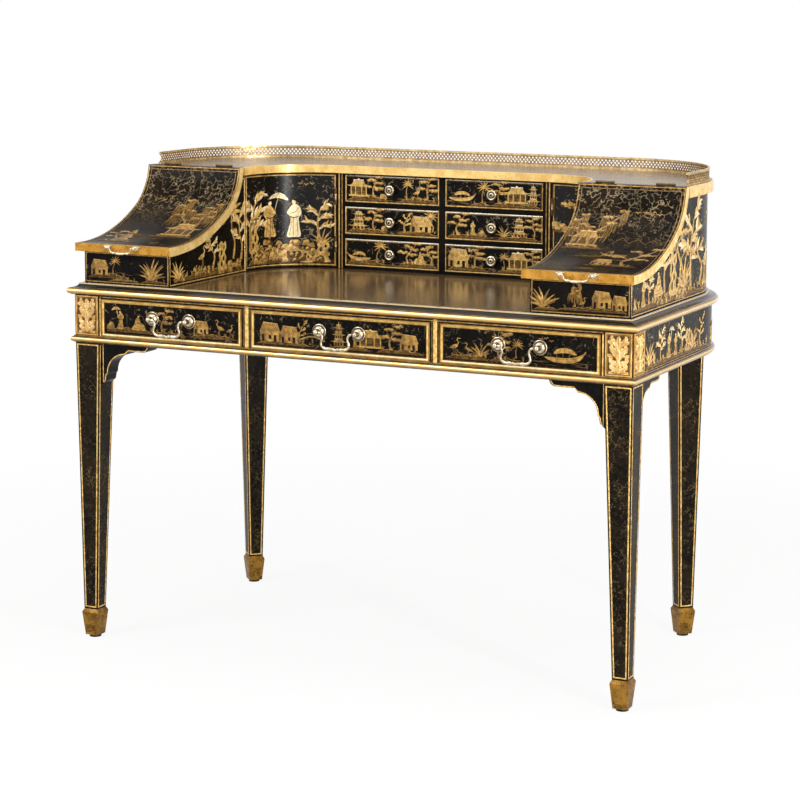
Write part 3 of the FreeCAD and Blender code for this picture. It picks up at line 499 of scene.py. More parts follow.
@dataclass(frozen=True)
class Metal(Finish):
    """Polished metal with faint tarnish in patches."""

    bright: Color = shade(222, 218, 210)
    dull: Color = shade(150, 142, 128)
    rough: float = 0.22

    def surface(self, graph: Graph, effects: SharedEffects, place: Socket) -> Surface:
        """Returns the metal's sockets, rougher where it is tarnished.

        Args:
            graph, effects, place: As in Finish.

        Returns:
            The sockets.
        """
        mottle = graph.shared(effects.mottle, place, Cells=120.0)
        color = graph.blend(mottle["Value"], self.dull, self.bright)
        rough = graph.level(mottle["Value"], self.rough + 0.14, self.rough)
        return Surface(color, rough, 1.0, mottle["Fine"])


@dataclass(frozen=True)
class Timber(Finish):
    """Wood with its grain along the desk's width.

    Attributes:
        squeeze: How much shorter a metre counts along each axis.
    """

    light: Color = shade(168, 126, 82)
    dark: Color = shade(128, 88, 52)
    pore: Color = shade(88, 58, 32)
    rough: float = 0.5
    squeeze: Spot = (0.08, 1.0, 1.0)

    def surface(self, graph: Graph, effects: SharedEffects, place: Socket) -> Surface:
        """Returns the wood's sockets, with duller pores.

        Args:
            graph, effects, place: As in Finish.

        Returns:
            The sockets.
        """
        grain = graph.shared(effects.grain, graph.mapped(place, Scale=self.squeeze), Cells=45.0)
        wood = graph.blend(grain["Value"], self.dark, self.light)
        color = graph.blend(grain["Pores"], wood, self.pore)
        rough = graph.math("MULTIPLY_ADD", grain["Pores"], 0.1, self.rough)
        return Surface(color, rough, 0.0, grain["Value"])


@dataclass(frozen=True)
class TwoFinishes(Finish):
    """A board that shows one finish in a zone and its main finish elsewhere."""

    main: Finish | None = None
    other: Finish | None = None
    zone: Zone = Zone.FOOT

    def surface(self, graph: Graph, effects: SharedEffects, place: Socket) -> Surface:
        """Returns the sockets of both finishes, mixed by the zone's mask.

        Args:
            graph, effects, place: As in Finish.

        Returns:
            The sockets.
        """
        mask = self.zone.mask(graph, place, graph.seen("Normal"))
        first = self.main.surface(graph, effects, place)
        second = self.other.surface(graph, effects, place)
        return Surface(
            graph.blend(mask, first.color, second.color),
            graph.level(mask, first.roughness, second.roughness),
            graph.level(mask, first.metallic, second.metallic),
            graph.level(mask, first.height, second.height),
        )


class Tone(Enum):
    """Paint tones of the raised pictures, darkest first."""

    INK = 0
    BROWN = 1
    OCHRE = 2
    GOLD = 3
    PALE = 4


FAINT_CRACKS = {"crack": shade(30, 26, 21), "bright_crack": shade(58, 50, 38)}
PANEL_LACQUER = Lacquer("panel_lacquer", specular=0.07)
PLAIN_LACQUER = Lacquer("plain_lacquer", specular=0.07, cover=0.3, **FAINT_CRACKS)
DOOR_LACQUER = Lacquer("door_lacquer", specular=0.22, gloss=0.2)
WING_LACQUER = Lacquer("wing_lacquer", specular=0.06, cover=0.3)
DRAWER_LACQUER = Lacquer(
    "drawer_lacquer", specular=0.05, crack=shade(66, 57, 43), bright_crack=shade(132, 115, 86)
)
# The lid's brown cloud is partly its own clouding and partly a painted sheen on the flat front; the fading
# of its cracks below the curve is painted light.
LID_LACQUER = Lacquer(
    "lid_lacquer", specular=0.02, cloud=shade(38, 29, 18), crack=shade(88, 76, 56),
    bright_crack=shade(140, 122, 92), width=0.02, cover=0.62, painted_light_fade=(0.856, 0.93),
)
CASE_LACQUER = Lacquer("case_lacquer", specular=0.06, cover=0.16, **FAINT_CRACKS)
TOP_LACQUER = Lacquer(
    "top_lacquer", specular=0.3, ground=shade(16, 11, 7), cloud=shade(40, 29, 18), cover=0.2,
    crack=shade(38, 31, 23), bright_crack=shade(60, 50, 36), gloss=0.18,
)
LEG_LACQUER = Lacquer(
    "leg_lacquer", specular=0.05, ground=shade(12, 10, 8), cloud=shade(34, 27, 18),
    crack=shade(44, 34, 20), bright_crack=shade(92, 74, 44), cells=72.0, width=0.02, cover=0.56,
)
LID_GOLD = Gilding(
    "lid_gold", specks=0.22, gold=shade(198, 148, 66), deep=shade(166, 116, 42), speck=shade(120, 80, 30),
    metal=0.35, rough=0.36, coat=0.2,
)
# Painted highlight: a paler copy of the lid's gold, for the curved sides of the lids, which face left and
# right.
LID_SIDE_HIGHLIGHT = Gilding(
    "lid_side_painted_highlight", specks=0.08, gold=shade(246, 218, 152), deep=shade(218, 176, 100), metal=0.35, coat=0.3
)
LID_EDGES = TwoFinishes("lid_edges", main=LID_GOLD, other=LID_SIDE_HIGHLIGHT, zone=Zone.LID_SIDE)
SHELF_GOLD = Gilding(
    "shelf_gold", specks=0.12, gold=shade(250, 214, 134), deep=shade(224, 178, 94),
    speck=shade(150, 106, 50), metal=0.35, rough=0.32, coat=0.4,
)
FOOT_GOLD = Gilding(
    "foot_gold", specks=0.35, gold=shade(154, 114, 48), deep=shade(106, 74, 28), speck=shade(64, 42, 16),
    metal=0.35, rough=0.36,
)
FRAME_GOLD = Gilding(
    "frame_gold", specks=0.12, gold=shade(220, 174, 96), deep=shade(166, 120, 56), metal=0.4, rough=0.3
)
# Pale gold of the painted highlight on carved crests, and dark brown of the painted shade in their recesses
# and on the ground between them.
CARVED_GOLD = Gilding(
    "carved_gold", gold=shade(228, 200, 138), deep=shade(196, 151, 80), specks=0.06, metal=0.3, rough=0.3
)
CARVED_SHADE = Gilding("carved_recess_shade", gold=shade(104, 70, 29), deep=shade(58, 37, 14), metal=0.3)
MOULDING_GOLD = Gilding(
    "moulding_gold", gold=shade(232, 192, 112), deep=shade(190, 142, 68), specks=0.06, metal=0.55,
    rough=0.22, relief=0.00002, coat=0.4,
)
# Painted light on the top bead: a pale highlight band across the roll, painted shade on its lower edge and
# in the gap above it.
TOP_BEAD = Banded(
    "top_bead_gilding", coat=0.3, base=MOULDING_GOLD, bands=(
        (0.7378, shade(50, 31, 12)), (0.7400, shade(134, 94, 40)), (0.7426, shade(196, 150, 72)),
        (0.7454, shade(248, 222, 158)), (0.7476, shade(206, 162, 84)), (0.7492, shade(116, 80, 32)),
        (0.7505, shade(30, 20, 10)),
    ),
)
# Painted light on the frieze bead: a pale highlight band on the roll, painted shade on its lower edge and a
# dark line of painted shade in the gap above it, under a thin gold edge.
FRIEZE_BEAD = Banded(
    "frieze_bead_gilding", coat=0.3, base=MOULDING_GOLD, bands=(
        (0.6362, shade(28, 17, 7)), (0.6388, shade(96, 64, 25)), (0.6414, shade(184, 138, 62)),
        (0.6441, shade(240, 208, 138)), (0.6462, shade(176, 130, 58)), (0.6474, shade(34, 21, 9)),
        (0.6496, shade(34, 21, 9)), (0.6503, shade(182, 136, 64)),
    ),
)
# The cove stays dark; the pale band at its top is a painted highlight along the crown's edge.
TOP_COVE = Banded(
    "top_cove_gilding", specular=0.6,
    base=Gilding("cove_base", gold=shade(70, 50, 26), deep=shade(30, 20, 10), metal=0.1, rough=0.22),
    bands=((0.7512, shade(22, 15, 8)), (0.7572, shade(20, 13, 7)), (0.7582, shade(226, 196, 142))),
)
PLAIN_WOOD = Timber("plain_wood_finish")
BOARD = Timber(
    "board_polish", specular=0.75, light=shade(98, 77, 54), dark=shade(72, 55, 38), pore=shade(50, 38, 26),
    relief=0.00001, rough=0.15, squeeze=(0.05, 1.0, 1.0),
)
SHELF_POLISH = Timber(
    "shelf_polish", specular=0.25, light=shade(108, 85, 52), dark=shade(84, 64, 38),
    pore=shade(62, 46, 26), relief=0.00001, rough=0.22, squeeze=(0.05, 1.0, 1.0),
)
BRASS = Metal("pale_brass", bright=shade(226, 204, 158), dull=shade(176, 148, 98), rough=0.3)
GALLERY_BRASS = Metal("gallery_brass", bright=shade(184, 152, 100), dull=shade(128, 98, 54), rough=0.32)
SILVER = Metal("champagne_silver", relief=0.00002, bright=shade(216, 203, 178), dull=shade(172, 156, 126))
# Painted shade: dark silver for the hollows of the turned fittings, where less light reaches.
HOLLOW_SHADE = Metal("silver_hollow_shade", bright=shade(104, 90, 66), dull=shade(66, 55, 38), rough=0.4)
IRON = Metal("dark_iron", bright=shade(62, 58, 54), dull=shade(34, 31, 29), rough=0.45)
INK = Paint(
    "picture_ink", gold=shade(28, 21, 13), deep=shade(16, 12, 8), metal=0.0, specular=0.1, cells=55.0
)
TONE_FINISHES = {
    Tone.INK: INK,
    Tone.BROWN: Paint(
        "picture_brown", gold=shade(126, 96, 50), deep=shade(62, 45, 22), metal=0.1, specular=0.1
    ),
    Tone.OCHRE: Paint("picture_ochre", gold=shade(204, 160, 84), deep=shade(122, 88, 40), specks=0.15),
    Tone.GOLD: Paint(
        "picture_gold", gold=shade(244, 204, 118), deep=shade(176, 130, 60), metal=0.25, specks=0.1
    ),
    Tone.PALE: Paint("picture_pale", gold=shade(253, 238, 198), deep=shade(234, 202, 138), specks=0.05),
}
DIM_TONES = {
    Tone.INK: INK,
    Tone.BROWN: Paint("dim_brown", gold=shade(100, 76, 38), deep=shade(50, 36, 18), metal=0.1, specular=0.1),
    Tone.OCHRE: Paint("dim_ochre", gold=shade(144, 107, 45), deep=shade(84, 58, 23), specks=0.15),
    Tone.GOLD: Paint("dim_gold", gold=shade(190, 147, 66), deep=shade(124, 88, 34), specks=0.1),
    Tone.PALE: Paint("dim_pale", gold=shade(222, 188, 114), deep=shade(180, 138, 68), specks=0.05),
}
# Painted highlight: near-white, mirror-like gilding for lines that stand in for a bead catching the light;
# it replaces the pale tone in the set below.
BRIGHT_LINE = Gilding(
    "bright_line", gold=shade(255, 247, 226), deep=shade(250, 234, 198), metal=0.85, rough=0.24
)
BRIGHT_TONES = TONE_FINISHES | {Tone.PALE: BRIGHT_LINE}


class Workshop:
    """Makes each material once and hands it out."""

    def __init__(self) -> None:
        """Builds the shared effects."""
        self.effects = SharedEffects()
        self.made: dict[str, bpy.types.Material] = {}

    def material(self, finish: Finish) -> bpy.types.Material:
        """Makes the material of a finish when it is first asked for.

        Args:
            finish: The finish.

        Returns:
            Its material.
        """
        if finish.name not in self.made:
            self.made[finish.name] = finish.material(self.effects)
        return self.made[finish.name]

    def dress(self, finish: Finish, *nodes: str) -> None:
        """Gives CAD nodes a finish in all their material slots.

        Args:
            finish: The finish.
            nodes: Names of the nodes.
        """
        for name in nodes:
            mesh = bpy.data.objects[name].data
            for index in range(len(mesh.materials)):
                mesh.materials[index] = self.material(finish)
            LOG.info("%s: %s", name, finish.name)


# ---------------------------------------------------------------- turned, bent and carved pieces
OUTWARDS = Vector((0, -1, 0))


def turns(count: int) -> list[float]:
    """Returns angles spread round a circle."""
    return [TURN * index / count for index in range(count)]


def circle(centre: Vector, first: Vector, second: Vector, radius: float, sides: int) -> list[Vector]:
    """Returns points round a circle that lies along two directions."""
    return [centre + (first * math.cos(a) + second * math.sin(a)) * radius for a in turns(sides)]


def smooth(points: Sequence[Sequence[float]], steps: int = 4, closed: bool = False) -> list[tuple]:
    """Runs a smooth line through points of any number of coordinates.

    Args:
        points: The points.
        steps: Steps between two of them.
        closed: Whether the line comes back to its start.

    Returns:
        Points along the line.
    """
    count = len(points)
    if count < 3:
        return [tuple(point) for point in points]
    line = []
    for index in range(count if closed else count - 1):
        near = [(index + k) % count if closed else min(max(index + k, 0), count - 1) for k in (-1, 0, 1, 2)]
        ring = [points[k] for k in near]
        for step in range(steps):
            t = step / steps
            weights = (
                (-t + 2 * t**2 - t**3) / 2,
                (2 - 5 * t**2 + 3 * t**3) / 2,
                (t + 4 * t**2 - 3 * t**3) / 2,
                (t**3 - t**2) / 2,
            )
            line.append(tuple(sum(w * p[k] for w, p in zip(weights, ring)) for k in range(len(ring[0]))))
    if not closed:
        line.append(tuple(points[-1]))
    return line


def add_piece(
    name: str, mesh: bpy.types.Mesh, body: str, materials: Sequence[bpy.types.Material],
    replaces: Sequence[str] = (),
) -> None:
    """Makes an object of a mesh and hands it to the frame.

    Args:
        name: Name of the piece.
        mesh: Its mesh.
        body: Body that it rides on.
        materials: Materials in the order of the faces' slots.
        replaces: CAD nodes that it stands for.
    """
    for material in materials:
        mesh.materials.append(material)
    made = placed(name, mesh)
    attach(made, body)
    if replaces:
        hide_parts(*replaces)
    LOG.info("%s rides on %s, %d faces", name, body, len(mesh.polygons))


class Shape:
    """A mesh in the making."""

    crease = math.radians(42)

    def __init__(self) -> None:
        """Starts with nothing."""
        self.points: list[Vector] = []
        self.faces: list[tuple[int, ...]] = []
        self.slots: list[int] = []

    def rows(self, rows: Sequence[Sequence[Vector]], slot: int | Sequence[int] = 0) -> None:
        """Joins closed rows of points with faces.

        Args:
            rows: Rows with the same number of points each.
            slot: Material slot of the faces, or one for each step from row to row.
        """
        start = len(self.points)
        count = len(rows[0])
        slots = [slot] * (len(rows) - 1) if isinstance(slot, int) else slot
        for row in rows:
            self.points += row
        for index, kind in enumerate(slots):
            low = start + index * count
            for j in range(count):
                k = (j + 1) % count
                self.faces.append((low + j, low + k, low + count + k, low + count + j))
                self.slots.append(kind)

    def cap(self, row: Sequence[Vector], slot: int = 0) -> None:
        """Closes a row of points with one face.

        Args:
            row: The points.
            slot: Material slot of the face.
        """
        start = len(self.points)
        self.points += row
        self.faces.append(tuple(range(start, start + len(row))))
        self.slots.append(slot)

    def turned(
        self, foot: Vector, profile: Sequence[Point], sides: int, slot: int = 0, hollows: Sequence[int] = ()
    ) -> None:
        """Adds a turned form that stands out to the front.

        Args:
            foot: Where its axis starts.
            profile: Radius and distance along the axis, from the foot outwards.
            sides: Points round the form.
            slot: Material slot.
            hollows: Steps of the profile that get the next slot.
        """
        first = OUTWARDS.orthogonal().normalized()
        second = OUTWARDS.cross(first)
        rows = [circle(foot + OUTWARDS * far, first, second, max(r, 0.01), sides) for r, far in profile]
        self.rows(rows, [slot + (index in hollows) for index in range(len(rows) - 1)])
        self.cap(rows[-1], slot)

    def bent(self, path: Sequence[Vector], radii: Sequence[float], sides: int = 12) -> None:
        """Adds a round bar along a smooth line.

        Args:
            path: Points that the bar goes through.
            radii: Its radius at each of them.
            sides: Points round the bar.
        """
        line = smooth([(*point, radius) for point, radius in zip(path, radii)], 6)
        spots = [Vector(point[:3]) for point in line]
        side = Vector((0, 1, 0))
        rows = []
        for index, spot in enumerate(spots):
            ahead = spots[min(index + 1, len(spots) - 1)] - spots[max(index - 1, 0)]
            ahead.normalize()
            side = (side - ahead * side.dot(ahead)).normalized()
            rows.append(circle(spot, side, ahead.cross(side), line[index][3], sides))
        self.rows(rows)
        self.cap(rows[0][::-1])
        self.cap(rows[-1])

    def piece(
        self, name: str, body: str, slot: str, materials: Sequence[bpy.types.Material],
        replaces: Sequence[str] = (), is_smooth: bool = True,
    ) -> None:
        """Makes the object and hands it to the frame.

        Args:
            name: Name of the piece.
            body: Body that it rides on.
            slot: The record's material slot; not used.
            materials: Materials in the order of the faces' slots.
            replaces: CAD nodes that it stands for.
            is_smooth: Whether its faces are shaded smooth.
        """
        mesh = bpy.data.meshes.new(name)
        mesh.from_pydata([point * MM for point in self.points], [], self.faces, shade_flat=not is_smooth)
        mesh.polygons.foreach_set("material_index", self.slots)
        work = bmesh.new()
        work.from_mesh(mesh)
        bmesh.ops.remove_doubles(work, verts=work.verts, dist=0.002 * MM)
        if is_smooth:
            bmesh.ops.recalc_face_normals(work, faces=work.faces)
        work.to_mesh(mesh)
        work.free()
        if is_smooth:
            mesh.set_sharp_from_angle(angle=self.crease)
        add_piece(name, mesh, body, materials, replaces)


# ---------------------------------------------------------------- studio
@dataclass
class Studio:
    """Floor, light and camera.

    Attributes:
        fade: Distances from the desk's middle between which the floor fades to white.
        seen_white: Share of white in the floor as the camera sees it near the desk.
        lamps: Name, place, target, width, height and power in watts of each lamp.
        shift: Sideways and upward shift.
    """

    reach: float = 40.0
    fade: Point = (1.0, 2.4)
    seen_white: float = 0.9
    world_light: float = 0.36
    lamps: tuple[tuple[str, Spot, Spot, float, float, float], ...] = (
        ("window_light", (-2.2, -3.6, 3.0), (0.0, 0.0, 0.75), 1.7, 1.7, 110),
        ("overhead_light", (0.5, -0.3, 3.6), (0.0, 0.0, 0.8), 2.4, 2.4, 70),
        ("fill_light", (3.8, -2.4, 1.9), (0.2, 0.0, 0.6), 2.0, 2.0, 45),
        ("strip_light", (2.3, -1.45, 1.0), (-0.36, 0.1, 0.86), 0.09, 1.9, 40),
    )
    place: Spot = (2.12830, -4.40495, 1.37377)
    yaw: float = -24.61
    pitch: float = -7.39
    roll: float = 0.34
    lens: float = 105.47
    shift: Point = (-0.075, -0.135)

    def build(self) -> None:
        """Adds the floor, the world, the lamps and the camera."""
        self._world()
        self._floor()
        for lamp in self.lamps:
            self._lamp(*lamp)
        self._camera()

    @staticmethod
    def _seen(graph: Graph) -> Socket:
        """Marks the rays that see white: straight ones, mirrored ones and those through glass.

        Args:
            graph: Graph to add to.

        Returns:
            A socket that is 1 for those rays.
        """
        path = graph.add("ShaderNodeLightPath").outputs
        seen = graph.math("MAXIMUM", path["Is Camera Ray"], path["Is Glossy Ray"])
        return graph.math("MAXIMUM", seen, path["Is Transmission Ray"])

    def _world(self) -> None:
        """Makes a world that shows white and lights the desk softly."""
        world = bpy.data.worlds.new("studio_world")
        bpy.context.scene.world = world
        graph = Graph.fresh(world)
        strength = graph.level(self._seen(graph), self.world_light, 1.0)
        white = graph.add("ShaderNodeBackground", {"Color": (1, 1, 1, 1), "Strength": strength})
        graph.add("ShaderNodeOutputWorld", {"Surface": white.outputs[0]})

    def _floor(self) -> None:
        """Makes a pale floor that fades to white away from the desk and keeps its shadow."""
        corners = [(x * self.reach, y * self.reach, 0) for x, y in ((-1, -1), (1, -1), (1, 1), (-1, 1))]
        mesh = bpy.data.meshes.new("studio_floor")
        mesh.from_pydata(corners, [], [(0, 1, 2, 3)])
        made = bpy.data.materials.new("pale_floor")
        graph = Graph.fresh(made)
        place = graph.seen("Object")
        away = graph.add("ShaderNodeVectorMath", {0: place}, operation="LENGTH").outputs["Value"]
        fade = graph.level(graph.step(away, *self.fade), self.seen_white, 1.0)
        share = graph.math("MULTIPLY", fade, self._seen(graph))
        matt = graph.add("ShaderNodeBsdfDiffuse", {"Color": shade(232, 231, 229)})
        white = graph.add("ShaderNodeEmission", {"Color": (1, 1, 1, 1), "Strength": 1.0})
        mix = graph.add("ShaderNodeMixShader", {0: share, 1: matt.outputs[0], 2: white.outputs[0]})
        graph.add("ShaderNodeOutputMaterial", {"Surface": mix.outputs[0]})
        mesh.materials.append(made)
        placed("studio_floor", mesh)

    @staticmethod
    def _lamp(name: str, place: Spot, target: Spot, width: float, height: float, power: float) -> None:
        """Adds a soft lamp.

        Args:
            name: Name of the lamp.
            place: Where it hangs.
            target: What it points at.
            width: Its width.
            height: Its height.
            power: Its power in watts.
        """
        light = bpy.data.lights.new(name, "AREA")
        light.energy = power
        light.shape = "RECTANGLE"
        light.size = width
        light.size_y = height
        lamp = placed(name, light)
        lamp.location = place
        aim = Vector(target) - Vector(place)
        lamp.rotation_euler = aim.to_track_quat("-Z", "Y").to_euler()

    def _camera(self) -> None:
        """Adds the camera from its place and turns."""
        data = bpy.data.cameras.new("view_camera")
        data.lens = self.lens
        data.sensor_width = 36.0
        data.shift_x, data.shift_y = self.shift
        data.clip_end = 200.0
        camera = placed("view_camera", data)
        camera.location = self.place
        camera.rotation_euler = (math.pi / 2 + math.radians(self.pitch), 0.0, -math.radians(self.yaw))
        bpy.context.view_layer.update()
        level = camera.matrix_world.to_quaternion()
        ahead = level @ Vector((0, 0, -1))
        camera.rotation_euler = (Quaternion(ahead, math.radians(-self.roll)) @ level).to_euler()
        bpy.context.scene.camera = camera


# ---------------------------------------------------------------- fittings
def bail(shape: Shape, half: Sequence[Spot], middle: Spot, pivot: Spot, sides: int) -> None:
    """Adds a bail whose two halves mirror each other.

    Args:
        shape: Shape to add to.
        half: Half of the bail, from its pivot towards its middle: across, up from the pivots, radius.
        middle: The same at its middle.
        pivot: The point midway between its pivots.
        sides: Points round the bar.
    """
    whole = [(-x, z, r) for x, z, r in half] + [middle, *half[::-1]]
    x, y, z = pivot
    shape.bent([Vector((x + px, y, z + pz)) for px, pz, _ in whole], [r for _, _, r in whole], sides)


@dataclass
class DrawerPulls:
    """Rosettes and swan-neck bails on the frieze drawers.

    Attributes:
        reach: Distance of the bail's middle from the face.
        hollows: Steps of the profile that are painted dark as shade.
        neck: Half of the bail.
    """

    spacing: float = 87.0
    height: float = 696.2
    front: float = -332.2
    reach: float = 18.0
    centres: tuple[tuple[str, float], ...] = (("left", -388.0), ("middle", 0.0), ("right", 388.0))
    rosette: tuple[Point, ...] = (
        (14.2, 0.0), (15.0, 0.6), (15.0, 1.6), (14.3, 2.5), (13.4, 2.8), (12.8, 2.4), (12.2, 2.5),
        (11.9, 3.4), (11.4, 4.7), (10.2, 6.3), (8.6, 7.6), (6.8, 8.5), (5.4, 8.8), (4.9, 8.6),
        (4.2, 9.2), (3.3, 10.6), (3.0, 12.2), (3.4, 13.4), (4.6, 14.4), (5.2, 16.0), (5.3, 18.0),
        (4.7, 20.0), (3.4, 21.6), (1.6, 22.5), (0.0, 22.6),
    )
    hollows: tuple[int, ...] = (4, 5, 6, 12, 13, 14, 15, 16)
    neck: tuple[Spot, ...] = (
        (37.2, 0.0, 2.2), (35.4, -0.2, 2.5), (31.6, -1.6, 2.6), (28.6, -6.4, 2.5), (28.2, -12.6, 2.4),
        (30.2, -18.6, 2.4), (30.4, -24.4, 2.5), (26.4, -29.2, 2.8), (19.6, -31.2, 3.3),
        (13.0, -31.4, 3.9), (8.4, -31.4, 2.6), (5.6, -31.5, 3.3), (3.0, -32.0, 2.4),
    )

    def build(self, shop: Workshop) -> None:
        """Builds the rosettes and the bail of each drawer.

        Args:
            shop: Workshop that makes the materials.
        """
        silver = [shop.material(SILVER), shop.material(HOLLOW_SHADE)]
        for side, centre in self.centres:
            plates, swing = Shape(), Shape()
            for sign, _ in SIDES:
                foot = Vector((centre + sign * self.spacing / 2, self.front, self.height))
                plates.turned(foot, self.rosette, 40, hollows=self.hollows)
            bail(swing, self.neck, (0.0, -32.6, 2.9), (centre, self.front - self.reach, self.height), 14)
            for part, name, body, node in (
                (plates, "rosettes", "drawer", "pull_plates"), (swing, "swan_bail", "drawer_handle", "bail")
            ):
                part.piece(
                    f"{side}_drawer_{name}", f"{side}_{body}", "silvered_metal", silver,
                    [f"{side}_drawer_{node}"],
                )


@dataclass
class SmallKnobs:
    """Turned knobs with a dark pin on the six small drawers.

    Attributes:
        hollows: Steps of the profile that are painted dark as shade.
    """

    across: float = 121.0
    heights: Spot = (796.6, 867.0, 937.4)
    face: float = 146.8
    profile: tuple[Point, ...] = (
        (6.4, 0.0), (6.6, 0.8), (6.0, 1.8), (4.4, 2.6), (3.9, 4.2), (4.4, 6.2), (7.2, 8.0),
        (10.4, 9.2), (11.4, 10.6), (11.5, 12.0), (11.0, 13.4), (9.8, 14.4), (8.6, 14.5), (7.6, 13.9),
        (6.6, 13.5), (5.4, 13.8), (4.6, 14.6), (3.6, 15.1), (2.8, 15.0),
    )
    hollows: tuple[int, ...] = (3, 4, 13, 14)
    pin: tuple[Point, ...] = ((2.8, 14.4), (2.7, 15.0), (1.9, 15.8), (0.0, 16.0))

    def build(self, shop: Workshop) -> None:
        """Builds one knob for each small drawer.

        Args:
            shop: Workshop that makes the materials.
        """
        metals = [shop.material(finish) for finish in (SILVER, HOLLOW_SHADE, IRON)]
        for sign, side in SIDES:
            for row, height in enumerate(self.heights, 1):
                knob = Shape()
                foot = Vector((sign * self.across, self.face, height))
                knob.turned(foot, self.profile, 36, hollows=self.hollows)
                knob.turned(foot, self.pin, 16, slot=2)
                drawer = f"{side}_small_drawer_{row}"
                knob.piece(f"{drawer}_turned_knob", drawer, "silvered_metal", metals, [f"{drawer}_knob"])


@dataclass
class LidHandles:
    """Small bails with a leaf in the middle, on the front edges of the lids.

    Attributes:
        spread: Distance of the pivots from the handle's middle.
        lobes: Leaves round a boss: across, up, off the edge, and radius along each.
    """

    centre: float = 504.5
    depth: float = -339.2
    height: float = 838.8
    spread: float = 33.0
    face: float = -331.2
    half: tuple[Spot, ...] = (
        (29.4, 0.4, 1.4), (27.4, -0.4, 2.1), (25.2, -3.4, 1.8), (23.8, -6.8, 1.6), (20.6, -9.6, 1.9),
        (16.2, -10.6, 2.6), (12.2, -10.2, 1.7), (8.4, -11.4, 2.7),
    )
    boss: tuple[Point, ...] = ((4.4, 0.0), (4.6, 0.8), (4.0, 2.2), (3.0, 3.0), (2.4, 3.2))
    lobes: tuple[tuple[tuple[float, ...], ...], ...] = (
        ((3.0, 0.4, 1.2, 1.6), (7.0, 1.6, 1.6, 1.9), (12.0, 3.6, 1.0, 0.5)),
        ((1.6, 2.2, 1.2, 1.3), (3.6, 3.8, 1.4, 1.4), (6.0, 5.2, 0.9, 0.5)),
        ((2.4, -1.8, 1.2, 1.2), (6.0, -2.4, 1.4, 1.2), (9.6, -1.6, 0.9, 0.5)),
        ((-2.4, 1.6, 1.2, 1.2), (-5.4, 3.0, 1.4, 1.2), (-8.6, 3.2, 0.9, 0.5)),
    )

    def build(self, shop: Workshop) -> None:
        """Builds the bail and the leaves of each lid.

        Args:
            shop: Workshop that makes the materials.
        """
        silver = [shop.material(SILVER)]
        for sign, side in SIDES:
            swing, leaves = Shape(), Shape()
            middle = sign * self.centre
            bail(swing, self.half, (0.0, -11.8, 3.0), (middle, self.depth, self.height), 12)
            swing.piece(
                f"{side}_lid_leaf_bail", f"{side}_lid_handle", "silvered_metal", silver, [f"{side}_lid_bail"]
            )
            for way, _ in SIDES:
                pivot = Vector((middle + way * self.spread, self.face, self.height))
                leaves.turned(pivot, self.boss, 24)
                for lobe in self.lobes:
                    path = [pivot + Vector((way * x, -depth, z)) for x, z, depth, _ in lobe]
                    leaves.bent(path, [spot[3] for spot in lobe], 10)
            leaves.piece(f"{side}_lid_handle_leaves", f"{side}_lid", "silvered_metal", silver)


